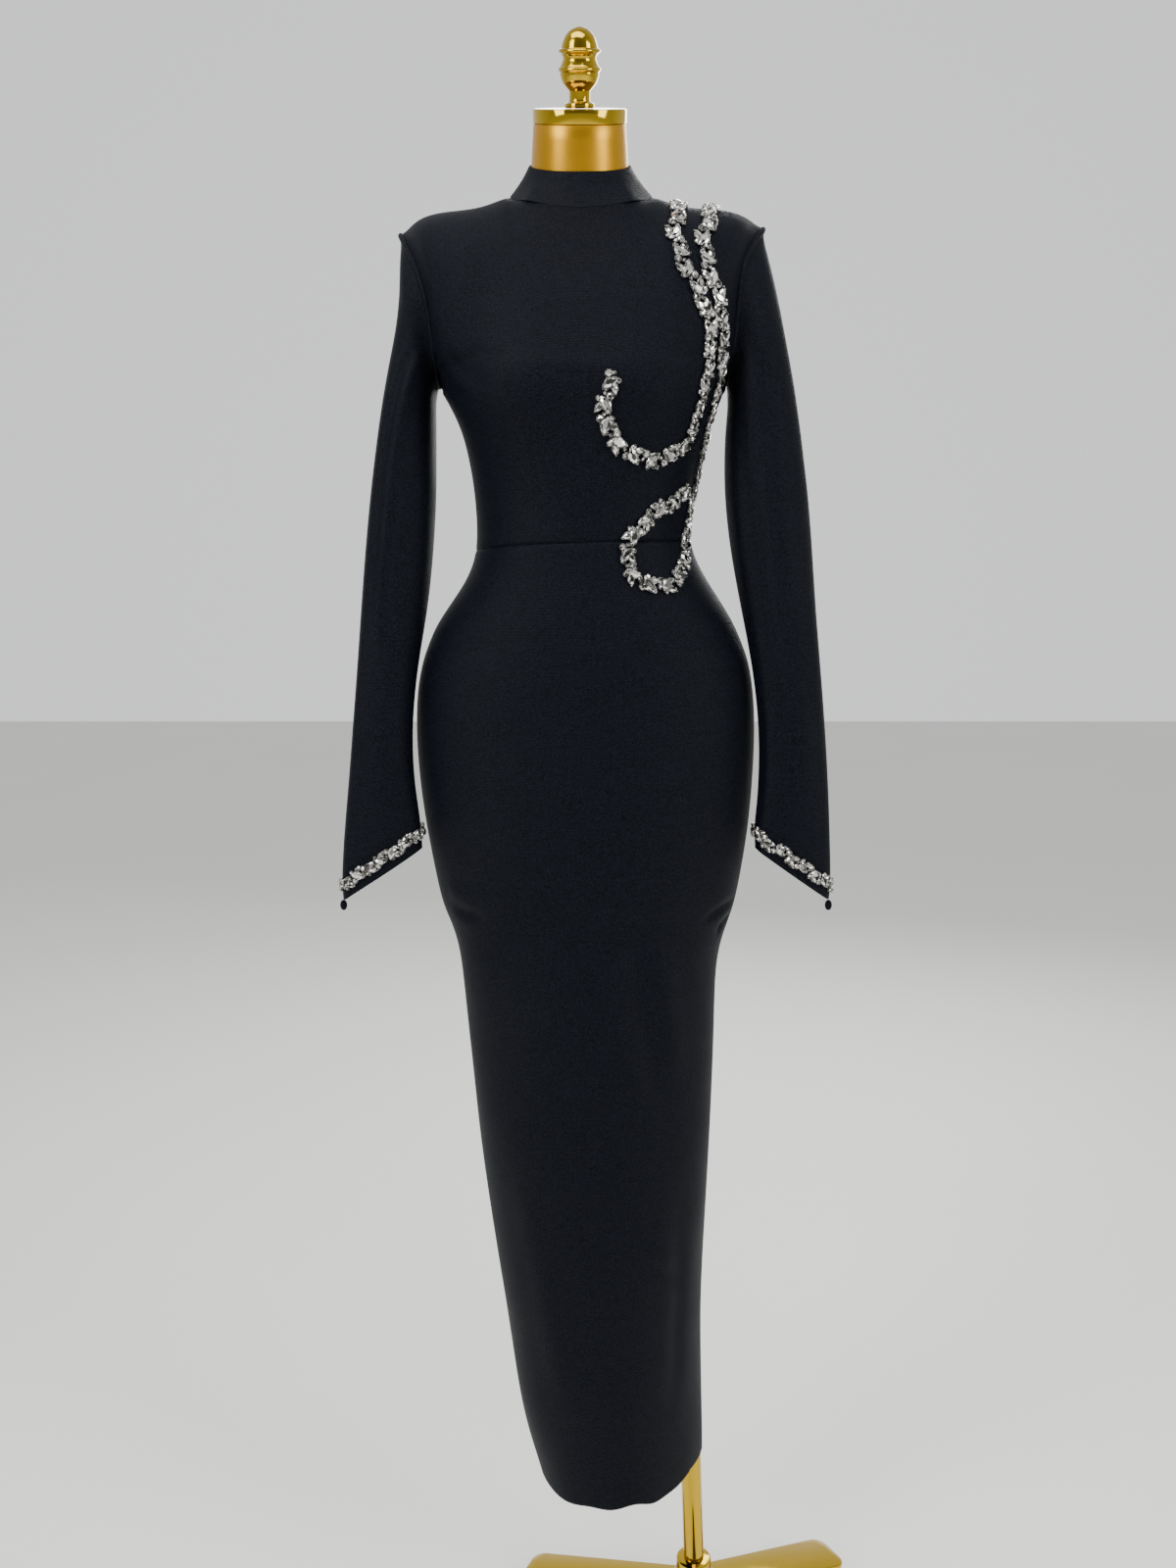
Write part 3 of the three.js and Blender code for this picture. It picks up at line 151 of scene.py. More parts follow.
add_lamp("lamp_above", (-0.3, -0.9, 3.0), (0, 0, 1.1), (2.0, 1.0), 34)
add_lamp("lamp_front_left", (-2.2, -1.9, 2.1), (0, 0, 1.0), (1.2, 1.8), 55)
add_lamp("lamp_front_right", (2.3, -1.6, 1.9), (0, 0, 1.0), (1.0, 1.8), 42)
add_lamp("lamp_back", (0.6, 2.4, 2.3), (0, 0, 1.0), (1.6, 1.6), 55)

# %% [markdown]
# Effects that several finishes share are made once, as shader node groups with named inputs and outputs:
# a fine grain, slow uneven patches, and the ribs of the knit. Each material then places a group with its
# own values. The groups give out only values, while the shader itself stays in the material.

# %% Shared effects


def new_group(name, inputs, outputs):
    """An empty node group with its sockets and its two end nodes."""
    group = bpy.data.node_groups.new(name, "ShaderNodeTree")
    for label, kind, value in inputs:
        socket = group.interface.new_socket(name=label, in_out="INPUT", socket_type=kind)
        if value is not None:
            socket.default_value = value
    for label, kind in outputs:
        group.interface.new_socket(name=label, in_out="OUTPUT", socket_type=kind)
    start = group.nodes.new("NodeGroupInput")
    end = group.nodes.new("NodeGroupOutput")
    return group, start, end


def add_math(tree, operation, first, second=None):
    """A Math node; each input is a socket or a number."""
    made = tree.nodes.new("ShaderNodeMath")
    made.operation = operation
    for socket, value in zip(made.inputs, (first, second)):
        if value is None:
            continue
        if isinstance(value, (int, float)):
            socket.default_value = value
        else:
            tree.links.new(value, socket)
    return made.outputs[0]


FLOAT, VECTOR = "NodeSocketFloat", "NodeSocketVector"

grain_group, start, end = new_group(
    "fine_grain",
    [("Place", VECTOR, None), ("Grains per metre", FLOAT, 900.0), ("Detail", FLOAT, 3.0)],
    [("Grain", FLOAT)],
)
grain_noise = grain_group.nodes.new("ShaderNodeTexNoise")
grain_group.links.new(start.outputs["Place"], grain_noise.inputs["Vector"])
grain_group.links.new(start.outputs["Grains per metre"], grain_noise.inputs["Scale"])
grain_group.links.new(start.outputs["Detail"], grain_noise.inputs["Detail"])
grain_group.links.new(grain_noise.outputs["Fac"], end.inputs["Grain"])

patch_group, start, end = new_group(
    "uneven_patches",
    [("Place", VECTOR, None), ("Patches per metre", FLOAT, 14.0), ("Low", FLOAT, 0.0), ("High", FLOAT, 1.0)],
    [("Patch", FLOAT)],
)
patch_noise = patch_group.nodes.new("ShaderNodeTexNoise")
patch_noise.inputs["Detail"].default_value = 4
patch_group.links.new(start.outputs["Place"], patch_noise.inputs["Vector"])
patch_group.links.new(start.outputs["Patches per metre"], patch_noise.inputs["Scale"])
patch_range = patch_group.nodes.new("ShaderNodeMapRange")
patch_range.inputs["From Min"].default_value = 0.3
patch_range.inputs["From Max"].default_value = 0.7
patch_group.links.new(patch_noise.outputs["Fac"], patch_range.inputs["Value"])
patch_group.links.new(start.outputs["Low"], patch_range.inputs["To Min"])
patch_group.links.new(start.outputs["High"], patch_range.inputs["To Max"])
patch_group.links.new(patch_range.outputs["Result"], end.inputs["Patch"])

STITCHES_PER_METRE = 1100
RIB_SHARE, STITCH_SHARE = 0.3, 1.2
rib_group, start, end = new_group(
    "knit_ribs",
    [("Course", FLOAT, 0.0), ("Place", VECTOR, None), ("Ribs per metre", FLOAT, 660.0)],
    [("Height", FLOAT)],
)
turns = add_math(rib_group, "MULTIPLY", start.outputs["Course"], start.outputs["Ribs per metre"])
wave = add_math(rib_group, "SINE", add_math(rib_group, "MULTIPLY", turns, 2 * math.pi))
stitch_noise = rib_group.nodes.new("ShaderNodeTexNoise")
stitch_noise.inputs["Scale"].default_value = STITCHES_PER_METRE
stitch_noise.inputs["Detail"].default_value = 2
rib_group.links.new(start.outputs["Place"], stitch_noise.inputs["Vector"])
rib = add_math(rib_group, "MULTIPLY", wave, RIB_SHARE)
stitch = add_math(rib_group, "MULTIPLY", stitch_noise.outputs["Fac"], STITCH_SHARE)
rib_group.links.new(add_math(rib_group, "ADD", rib, stitch), end.inputs["Height"])
print("shared effects:", [group.name for group in bpy.data.node_groups])

# %% [markdown]
# A finish starts from a Principled shader. Values that are the same all over are set on the shader's own
# sockets. What changes over the surface, such as colour, roughness and bump, is linked.

# %% Helpers for finishes


def new_material(name, colour, roughness, metallic=0.0, **sockets):
    """A material with its Principled shader set."""
    material = bpy.data.materials.new(name)
    material.use_nodes = True
    shader = material.node_tree.nodes["Principled BSDF"]
    shader.inputs["Base Color"].default_value = (*colour, 1)
    shader.inputs["Roughness"].default_value = roughness
    shader.inputs["Metallic"].default_value = metallic
    for label, value in sockets.items():
        shader.inputs[label.replace("_", " ")].default_value = value
    return material, material.node_tree, shader


def place_group(tree, group, place=None, **values):
    """Puts a shared effect in a material with its own values."""
    made = tree.nodes.new("ShaderNodeGroup")
    made.node_tree = group
    if place is not None:
        tree.links.new(place, made.inputs["Place"])
    for label, value in values.items():
        made.inputs[label.replace("_", " ")].default_value = value
    return made


def object_place(tree):
    return tree.nodes.new("ShaderNodeTexCoord").outputs["Object"]


def mix_colours(tree, mask, low, high):
    """A colour between two, by a mask."""
    mix = tree.nodes.new("ShaderNodeMix")
    mix.data_type = "RGBA"
    tree.links.new(mask, mix.inputs["Factor"])
    mix.inputs[6].default_value = (*low, 1)
    mix.inputs[7].default_value = (*high, 1)
    return mix.outputs[2]


def add_bump(tree, shader, height, distance, strength=1.0):
    bump = tree.nodes.new("ShaderNodeBump")
    bump.inputs["Distance"].default_value = distance
    bump.inputs["Strength"].default_value = strength
    tree.links.new(height, bump.inputs["Height"])
    tree.links.new(bump.outputs["Normal"], shader.inputs["Normal"])


def uneven_roughness(tree, shader, per_metre, low, high):
    """Roughness that changes slowly over the surface."""
    patches = place_group(tree, patch_group, object_place(tree), Patches_per_metre=per_metre, Low=low,
                          High=high)
    tree.links.new(patches.outputs["Patch"], shader.inputs["Roughness"])


def grainy(tree, shader, per_metre, depth, strength):
    """A fine bump like sprayed paint or moulded rubber."""
    grain = place_group(tree, grain_group, object_place(tree), Grains_per_metre=per_metre)
    add_bump(tree, shader, grain.outputs["Grain"], depth, strength)


# %% [markdown]
# The dress is a heavy knit of rayon and nylon: black with a touch of navy, a soft sheen, and fine ribs
# that run round the body. The ribs follow the cloth and not the world, so they read a UV map whose
# second value is the length of cloth up from the hem. A little colour noise gives the grain of the yarn.

# %% Knit
KNIT_DARK = (0.0002, 0.0003, 0.0006)
KNIT_LIGHT = (0.0062, 0.0082, 0.0145)

knit, tree, shader = new_material("black_knit", KNIT_DARK, 0.55, Specular_IOR_Level=0.07,
                                  Sheen_Weight=0.004, Sheen_Roughness=0.45)
shader.inputs["Sheen Tint"].default_value = (0.55, 0.6, 0.75, 1)
place = object_place(tree)
course_map = tree.nodes.new("ShaderNodeUVMap")
course_map.uv_map = "knit"
course_split = tree.nodes.new("ShaderNodeSeparateXYZ")
tree.links.new(course_map.outputs["UV"], course_split.inputs[0])
ribs = place_group(tree, rib_group, place)
tree.links.new(course_split.outputs["Y"], ribs.inputs["Course"])
yarn = place_group(tree, patch_group, place, Patches_per_metre=620.0)
tree.links.new(mix_colours(tree, yarn.outputs["Patch"], KNIT_DARK, KNIT_LIGHT), shader.inputs["Base Color"])
uneven_roughness(tree, shader, 9.0, 0.5, 0.62)
add_bump(tree, shader, ribs.outputs["Height"], 0.00035, 0.7)

# %% [markdown]
# The gold is of two kinds. The neck and the torso are sprayed, satin, with a fine orange-peel grain. The
# cap, the finial and the stand are plated and polished, so they only get slow smudges in the roughness.

# %% Gold
satin_gold, tree, shader = new_material("satin_gold", (0.55, 0.28, 0.014), 0.36, 0.95)
uneven_roughness(tree, shader, 26.0, 0.32, 0.4)
grainy(tree, shader, 1500.0, 0.0001, 0.35)

polished_gold, tree, shader = new_material("polished_gold", (0.52, 0.34, 0.024), 0.1, 1.0)
uneven_roughness(tree, shader, 30.0, 0.06, 0.15)

# %% [markdown]
# The stones are cut glass with a silvered back, so they throw light back as a mirror does, in many small
# facets. Each facet also gets a painted reflection, a shade from dark to bright in a face attribute, that
# stands in for the bright and dark facets a real stone shows side by side. Their settings are dull silver.

# %% Stones, settings, zip and rubber
stone_glass, tree, shader = new_material("cut_stone", (0.8, 0.79, 0.75), 0.05, 0.8, Coat_Weight=1.0,
                                         Coat_Roughness=0.02)
# Painted reflection: each facet's colour runs from near black to near white by a value painted on each face,
# standing in for the bright and dark surroundings that the facet throws back.
painted_reflection_node = tree.nodes.new("ShaderNodeAttribute")
painted_reflection_node.attribute_name = "painted_facet_reflection"
tree.links.new(mix_colours(tree, painted_reflection_node.outputs["Fac"], (0.02, 0.019, 0.016), (0.98, 0.96, 0.9)),
               shader.inputs["Base Color"])

setting_silver, tree, shader = new_material("dull_silver", (0.34, 0.34, 0.33), 0.32, 1.0)
uneven_roughness(tree, shader, 220.0, 0.25, 0.45)

zip_nylon, tree, shader = new_material("zip_nylon", (0.004, 0.0045, 0.006), 0.45, Specular_IOR_Level=0.25)
grainy(tree, shader, 1800.0, 0.0001, 0.4)

zip_enamel, tree, shader = new_material("zip_enamel", (0.016, 0.016, 0.018), 0.28, 0.55)
uneven_roughness(tree, shader, 240.0, 0.2, 0.42)

foot_rubber, tree, shader = new_material("moulded_rubber", (0.02, 0.02, 0.02), 0.75)
grainy(tree, shader, 1000.0, 0.0002, 0.5)

floor_paint, tree, shader = new_material("pale_floor", (0.94, 0.93, 0.9), 0.45)
uneven_roughness(tree, shader, 1.5, 0.4, 0.5)
floor_mesh.materials.append(floor_paint)
print("finishes:", [material.name for material in bpy.data.materials])

# %% [markdown]
# A few helpers take a bmesh to a finished object. Each object sits at the origin with its place in its
# mesh, rides on a body of the model, and hides the solid that it stands for.

# %% Helpers for pieces


def add_object(name, shape, material, smooth=True):
    """Makes an object from a bmesh, which is then freed."""
    mesh = bpy.data.meshes.new(name)
    for face in shape.faces:
        face.smooth = smooth
    shape.to_mesh(mesh)
    shape.free()
    mesh.materials.append(material)
    made = bpy.data.objects.new(name, mesh)
    bpy.context.collection.objects.link(made)
    return made


def apply_modifiers(piece):
    """Turns a piece's modifiers into its mesh."""
    graph = bpy.context.evaluated_depsgraph_get()
    mesh = bpy.data.meshes.new_from_object(piece.evaluated_get(graph), preserve_all_data_layers=True,
                                           depsgraph=graph)
    piece.modifiers.clear()
    piece.data = mesh
    return piece


def add_subdivision(piece, levels):
    modifier = piece.modifiers.new("smooth", "SUBSURF")
    modifier.levels = modifier.render_levels = levels
    modifier.boundary_smooth = "PRESERVE_CORNERS"
    modifier.uv_smooth = "NONE"
    return modifier


def settle(piece, body, slot, *nodes):
    """Puts the piece on the body that it rides on and hides the solids that it stands for. The slot, the
    finish that it takes, is not used.
    """
    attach(piece, body)
    if nodes:
        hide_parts(*nodes)
    return piece


def corner_tree(places):
    """A search tree over single points."""
    tree = kdtree.KDTree(len(places))
    for index, place in enumerate(places):
        tree.insert(place, index)
    tree.balance()
    return tree


def surface_tree(*meshes):
    """A search tree over the faces of some meshes."""
    corners, faces = [], []
    for mesh in meshes:
        shift = len(corners)
        corners += [vertex.co.copy() for vertex in mesh.vertices]
        faces += [[shift + index for index in polygon.vertices] for polygon in mesh.polygons]
    return BVHTree.FromPolygons(corners, faces)


def merged_copy(name):
    """A node's mesh with its loose triangles joined at their corners."""
    shape = bmesh.new()
    shape.from_mesh(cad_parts[name].data)
    bmesh.ops.remove_doubles(shape, verts=shape.verts, dist=1e-5)
    return shape


# %% [markdown]
# Each piece of cloth is a wall in the model: an outer grid, an inner grid one wall away, and rims. For
# smooth cloth only the outer grid is wanted. Every corner has its partner at exactly the wall's
# thickness, and of the two the outer one lies further from the middle of the dress. The inner corners
# go, and then the diagonals, which leaves a clean grid of four-sided faces that subdivides well.

# %% Cloth from the solid's outer side
WALL = 1.6 * MM
TRUNK_MIDDLE = Vector((-0.01, 0.03, 0))
HIGHEST_MIDDLE = 1.45


def trunk_middle(place):
    return Vector((TRUNK_MIDDLE.x, TRUNK_MIDDLE.y, min(place.z, HIGHEST_MIDDLE)))


def join_grid(skin):
    """Removes the diagonal of every cell. Across a cell's side, the next diagonal starts at the corner
    of the triangle that isn't on its own diagonal."""

    def squareness(face):
        longest = max(face.edges, key=lambda edge: edge.calc_length())
        corner = next(loop for loop in face.loops if loop.vert not in longest.verts)
        return abs(corner.calc_angle() - math.pi / 2)

    first = min(skin.faces, key=squareness)
    diagonals = {first: max(first.edges, key=lambda edge: edge.calc_length())}
    waiting = [first]
    while waiting:
        face = waiting.pop()
        diagonal = diagonals[face]
        corner = next(vert for vert in face.verts if vert not in diagonal.verts)
        for edge in face.edges:
            for other in edge.link_faces:
                if other in diagonals:
                    continue
                if edge is diagonal:
                    diagonals[other] = diagonal
                else:
                    diagonals[other] = next(e for e in other.edges if e is not edge and corner in e.verts)
                waiting.append(other)
    cut = [edge for edge in set(diagonals.values()) if len(edge.link_faces) == 2]
    bmesh.ops.dissolve_edges(skin, edges=cut, use_verts=False)


def outer_skin(name, middle=trunk_middle):
    """The outer grid of a wall as a sheet of four-sided faces."""
    skin = merged_copy(name)
    tree = corner_tree([vert.co for vert in skin.verts])
    inner = []
    for vert in skin.verts:
        for place, index, distance in tree.find_range(vert.co, WALL * 1.01):
            if distance > WALL * 0.99:
                if (vert.co - place).dot((vert.co + place) / 2 - middle((vert.co + place) / 2)) < 0:
                    inner.append(vert)
                break
    bmesh.ops.delete(skin, geom=inner, context="VERTS")
    join_grid(skin)
    return skin


# %% [markdown]
# The six panels of the trunk and the two sleeves are first sewn into one sheet, so that the cloth stays
# smooth across its seams, and taken apart again once it has its folds. Each face remembers its panel by
# its material number. Rows of knit are counted from the hem or the cuff along the grid, and their
# distance becomes the UV map that the ribs follow.

# %% Sew the panels into one sheet
SEAM_REACH = 0.7 * MM
TRUNK_PANELS = ["skirt_front", "skirt_back_left", "skirt_back_right", "bodice_front",
                "bodice_back_left", "bodice_back_right"]
SLEEVES = ["sleeve_left", "sleeve_right"]
PANELS = TRUNK_PANELS + SLEEVES
HEM_Z = 0.3
SLEEVE_BAND = 0.04


def lay_courses(sheet, first_row):
    """Writes the length of cloth above the first row into the UV map."""
    row_of = {vert: 0 for vert in first_row}
    ring, lengths = list(first_row), [0.0]
    while ring:
        steps, following = [], []
        for vert in ring:
            for edge in vert.link_edges:
                other = edge.other_vert(vert)
                if other not in row_of:
                    row_of[other] = row_of[vert] + 1
                    following.append(other)
                    steps.append(edge.calc_length())
        if steps:
            lengths.append(lengths[-1] + sum(steps) / len(steps))
        ring = following
    layer = sheet.loops.layers.uv.verify()
    for face in sheet.faces:
        for loop in face.loops:
            loop[layer].uv = (loop.vert.co.x, lengths[row_of[loop.vert]])
    return lengths[-1]


def add_panel(sheet, skin, number):
    """Adds a skin to the sheet, its faces marked with the panel's number."""
    for face in skin.faces:
        face.material_index = number
        face.smooth = True
    mesh = bpy.data.meshes.new("panel")
    skin.to_mesh(mesh)
    sheet.from_mesh(mesh)
    bpy.data.meshes.remove(mesh)
    skin.free()


def boundary_corners(sheet):
    return [vert for vert in sheet.verts if vert.is_boundary]


dress_sheet = bmesh.new()
dress_sheet.loops.layers.uv.new("knit")
for number, name in enumerate(TRUNK_PANELS):
    add_panel(dress_sheet, outer_skin(name), number)
bmesh.ops.remove_doubles(dress_sheet, verts=dress_sheet.verts, dist=SEAM_REACH)
hem = [vert for vert in boundary_corners(dress_sheet) if vert.co.z < HEM_Z]
print("trunk cloth from hem to neck:", round(lay_courses(dress_sheet, hem), 3), "m")

for name in SLEEVES:
    corners = [vertex.co.copy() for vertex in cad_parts[name].data.vertices]

    def sleeve_middle(place):
        level = min(place.z, HIGHEST_MIDDLE - SLEEVE_BAND)
        near = [corner for corner in corners if abs(corner.z - level) < SLEEVE_BAND]
        middle = sum(near, Vector()) / len(near)
        return Vector((middle.x, middle.y, level))

    sleeve = outer_skin(name, sleeve_middle)
    sleeve.loops.layers.uv.new("knit")
    rim = boundary_corners(sleeve)
    middle_z = sum(vert.co.z for vert in rim) / len(rim)
    cuff = [vert for vert in rim if vert.co.z < middle_z]
    print(name, "from cuff to shoulder:", round(lay_courses(sleeve, cuff), 3), "m")
    add_panel(dress_sheet, sleeve, PANELS.index(name))
bmesh.ops.remove_doubles(dress_sheet, verts=dress_sheet.verts, dist=SEAM_REACH)

# %% [markdown]
# The sheet's faces are far larger than a fold, so they are divided three times, which also rounds them.
# Only the armholes keep an edge, because the sleeve is set into the bodice there at an angle.

# %% Smooth the sheet
ARMHOLE_CREASE = 0.75
crease_layer = dress_sheet.edges.layers.float.new("crease_edge")
first_sleeve = len(TRUNK_PANELS)
for edge in dress_sheet.edges:
    numbers = [face.material_index for face in edge.link_faces]
    if len(numbers) == 2 and (numbers[0] >= first_sleeve) != (numbers[1] >= first_sleeve):
        edge[crease_layer] = ARMHOLE_CREASE
loose = [edge for edge in dress_sheet.edges if len(edge.link_faces) > 2]
print("sheet:", len(dress_sheet.faces), "faces, edges with over two faces:", len(loose))

sheet_mesh = bpy.data.meshes.new("dress_sheet")
dress_sheet.to_mesh(sheet_mesh)
dress_sheet.free()
for _ in PANELS:
    sheet_mesh.materials.append(knit)
dress = bpy.data.objects.new("dress_sheet", sheet_mesh)
bpy.context.collection.objects.link(dress)
add_subdivision(dress, 3)
apply_modifiers(dress)
print("smoothed:", len(dress.data.vertices), "points")

# %% [markdown]
# Over the bust the cloth is stretched, so no row of the grid may show there as a line. The points of that
# part are averaged with their neighbours many times, which smooths it far more than subdivision does.

# %% Smooth the bust
BUST_LOW, BUST_HIGH = 1.29, 1.45
BUST_SIDE = 0.105
BUST_PASSES = 110

bust = bmesh.new()
bust.from_mesh(dress.data)
front_number = TRUNK_PANELS.index("bodice_front")
stretched = [vert for vert in bust.verts
             if BUST_LOW < vert.co.z < BUST_HIGH and abs(vert.co.x) < BUST_SIDE
             and all(face.material_index == front_number for face in vert.link_faces)]
for _ in range(BUST_PASSES):
    bmesh.ops.smooth_vert(bust, verts=stretched, factor=0.5, use_axis_x=True, use_axis_y=True,
                          use_axis_z=True)
bust.to_mesh(dress.data)
bust.free()
print("points smoothed over the bust:", len(stretched))

# %% [markdown]
# Folds are laid one by one. A fold is a line on the cloth with a depth and a width: points near the line
# move in or out along their normal, most on the line and less away from it, and less towards its ends.
# Lines on the front are given by their spots in the photo, cast through the camera onto the cloth. Lines
# on the hidden sides are given by their place across and up, cast from behind.

# %% Folds and seams in the cloth


def read_vectors(items, key):
    values = numpy.empty(len(items) * 3)
    items.foreach_get(key, values)
    return values.reshape(-1, 3)


points = read_vectors(dress.data.vertices, "co")
normals = read_vectors(dress.data.vertices, "normal")
moves = numpy.zeros(len(points))
cloth_tree = surface_tree(dress.data)


def on_front(spots):
    """Spots of the photo on the cloth."""
    found = [cloth_tree.ray_cast(CAMERA_PLACE, sight_line(*spot))[0] for spot in spots]
    return [place for place in found if place is not None]


def on_back(spots):
    """Places across and up, in millimetres, on the cloth seen from behind."""
    found = [cloth_tree.ray_cast(Vector((x * MM, 1, z * MM)), Vector((0, -1, 0)))[0] for x, z in spots]
    return [place for place in found if place is not None]


def line_distance(line):
    """Each point's distance from a line of points, and how far along it lies, from 0 to 1."""
    steps = [(Vector(b) - Vector(a)).length for a, b in zip(line, line[1:])]
    total = sum(steps)
    best = numpy.full(len(points), 1e9)
    along = numpy.zeros(len(points))
    done = 0.0
    for a, b, length in zip(line, line[1:], steps):
        start, ahead = numpy.array(a), numpy.array(b) - numpy.array(a)
        share = numpy.clip((points - start) @ ahead / max(length * length, 1e-12), 0, 1)
        distance = numpy.linalg.norm(points - start - share[:, None] * ahead, axis=1)
        closer = distance < best
        best[closer] = distance[closer]
        along[closer] = ((done + share * length) / total)[closer]
        done += length
    return best, along


FOLD_DEPTH = 1.45


def add_fold(line, depth, width, fade=0.35):
    """Moves points near a line by a depth in millimetres, out if positive, over a width in millimetres.
    The fold fades over a share of its length at each end."""
    if len(line) < 2:
        return
    distance, along = line_distance(line)
    ends = numpy.clip(numpy.minimum(along, 1 - along) / fade, 0, 1)
    ends = ends * ends * (3 - 2 * ends)
    moves[:] += FOLD_DEPTH * depth * MM * numpy.exp(-(distance / (width * MM)) ** 2) * ends


# Where the form ends under the skirt, the cloth turns in at both thighs.
add_fold(on_front([(448, 921), (462, 928), (478, 933), (497, 938)]), -2.6, 6)
add_fold(on_front([(455, 905), (470, 914), (488, 920)]), 1.2, 9)
add_fold(on_front([(750, 915), (738, 926), (724, 936), (712, 941)]), -2.2, 5)
add_fold(on_front([(745, 932), (737, 943), (729, 957)]), -1.8, 5)
# Below it the skirt hangs free, with one long soft fold and small slanting ones.
add_fold(on_front([(640, 930), (648, 985), (656, 1040), (668, 1100), (684, 1160)]), -2.6, 14)
add_fold(on_front([(668, 940), (678, 990), (686, 1050), (696, 1110)]), 1.8, 13)
add_fold(on_front([(648, 1288), (664, 1296), (680, 1303), (698, 1311)]), -1.5, 5)
add_fold(on_front([(655, 1276), (672, 1284), (690, 1291)]), 1.0, 7)
add_fold(on_front([(520, 1120), (540, 1240), (566, 1380), (590, 1490)]), 1.6, 16)
add_fold(on_front([(690, 1200), (694, 1300), (690, 1400), (680, 1470)]), -1.5, 12)
# Pull lines run from the bust to the underarms.
add_fold(on_front([(448, 352), (466, 372), (486, 388), (508, 398)]), -1.3, 8)
add_fold(on_front([(452, 382), (468, 402), (486, 416)]), -1.0, 7)
add_fold(on_front([(738, 356), (722, 378), (706, 392)]), -1.0, 8)
# Each sleeve hangs empty: a long ridge from the underarm, with a trough on its outer side.
add_fold(on_front([(446, 350), (430, 360), (420, 376), (412, 402), (405, 440), (399, 480), (393, 530),
                   (387, 600), (384, 680)]), 2.4, 6, 0.2)
add_fold(on_front([(436, 348), (418, 362), (408, 384), (401, 414), (395, 450), (389, 500), (384, 560),
                   (379, 640)]), -1.8, 6, 0.2)
add_fold(on_front([(750, 330), (757, 348), (762, 372), (765, 410), (768, 470), (774, 530), (781, 590),
                   (790, 660), (797, 740)]), 2.2, 6, 0.2)
add_fold(on_front([(762, 330), (770, 352), (775, 380), (778, 420), (782, 480), (788, 540), (796, 610)]),
         -1.6, 6, 0.2)
# Behind, the same kinds of folds lie at places of their own.
add_fold(on_back([(-150, 868), (-128, 858), (-104, 852)]), -2.3, 6)
add_fold(on_back([(108, 872), (88, 860), (66, 853), (45, 850)]), -2.1, 6)
add_fold(on_back([(-70, 820), (-62, 700), (-50, 600), (-44, 500)]), -2.2, 14)
add_fold(on_back([(30, 780), (36, 680), (44, 560), (50, 420)]), 1.8, 15)
add_fold(on_back([(-20, 520), (2, 505), (22, 500)]), -1.3, 6)
add_fold(on_back([(-120, 1330), (-100, 1348), (-78, 1356)]), -1.2, 8)
add_fold(on_back([(62, 1326), (44, 1346), (22, 1358)]), -1.3, 8)
add_fold(on_back([(-90, 1235), (-60, 1228), (-40, 1230)]), -1.0, 6)
add_fold(on_back([(-215, 1420), (-222, 1350), (-228, 1270), (-234, 1180)]), 2.0, 7, 0.25)
add_fold(on_back([(152, 1420), (160, 1340), (166, 1260), (174, 1160)]), 2.0, 7, 0.25)

# %% [markdown]
# A seam in a knit lies in a fine valley, because its allowance is pressed flat behind it. The armhole is
# the other way round: its allowance pushes up a rounded ridge. In the sheet, a seam is wherever two
# neighbouring faces belong to different panels.

# %% Seams
SEAM_DEPTH = 0.7 * MM
ARMHOLE_RIDGE = 1.6
ARMHOLE_WIDTH = 5
HEM_REACH = 110 * MM
# The hem hangs in small waves: each dip's place across, its drop and its width, in millimetres.
HEM_DIPS = [(-52, 8, 26), (-6, 6, 20), (42, 8, 16), (66, 5, 14)]

panel_of = numpy.empty(len(dress.data.polygons), dtype=int)
dress.data.polygons.foreach_get("material_index", panel_of)
panels_at = [set() for _ in points]
for polygon, number in zip(dress.data.polygons, panel_of):
    for index in polygon.vertices:
        panels_at[index].add(int(number))
armhole = []
for index, numbers in enumerate(panels_at):
    if len(numbers) > 1 and min(numbers) < first_sleeve <= max(numbers):
        armhole.append(points[index])
    elif len(numbers) > 1:
        moves[index] -= SEAM_DEPTH
armhole_tree = corner_tree(armhole)
away = numpy.array([armhole_tree.find(place)[2] for place in points]) / MM
moves += ARMHOLE_RIDGE * MM * numpy.exp(-(away / ARMHOLE_WIDTH) ** 2)
points = points + normals * moves[:, None]

hem_z = points[:, 2].min()
near_hem = numpy.clip(1 - (points[:, 2] - hem_z) / HEM_REACH, 0, 1) ** 2
in_front = points[:, 1] < 0
for across, drop, width in HEM_DIPS:
    dip = drop * MM * numpy.exp(-((points[:, 0] / MM - across) / width) ** 2)
    points[:, 2] -= in_front * near_hem * dip
dress.data.vertices.foreach_set("co", points.ravel())
dress.data.update()
print("deepest and highest move:", round(moves.min() / MM, 2), round(moves.max() / MM, 2), "mm")

# %% [markdown]
# The armhole's allowance pushes up a rounded ridge like a cord under the cloth. The sheet's faces are too
# wide to show it sharply, so a line is drawn round each armhole, through the sheet's own points, and given
# a round section. It lies half in the cloth, and is smoothed so that it runs without a kink.

# %% Armhole ridges
RIDGE_RADIUS = 2.8 * MM
RIDGE_SMOOTHING = 3


def armhole_ring(name):
    """The ring of points round the top of a sleeve, in order."""
    shape = bmesh.new()
    shape.from_mesh(dress.data)
    number = PANELS.index(name)
    beside = {}
    for edge in shape.edges:
        if sum(face.material_index == number for face in edge.link_faces) == 1:
            for vert in edge.verts:
                beside.setdefault(vert, []).append(edge.other_vert(vert))
    ring = [max(beside, key=lambda vert: vert.co.z)]
    following = beside[ring[0]][0]
    while following is not None:
        ring.append(following)
        following = next((vert for vert in beside[following] if vert not in ring), None)
    places = [vert.co.copy() for vert in ring]
    shape.free()
    return places


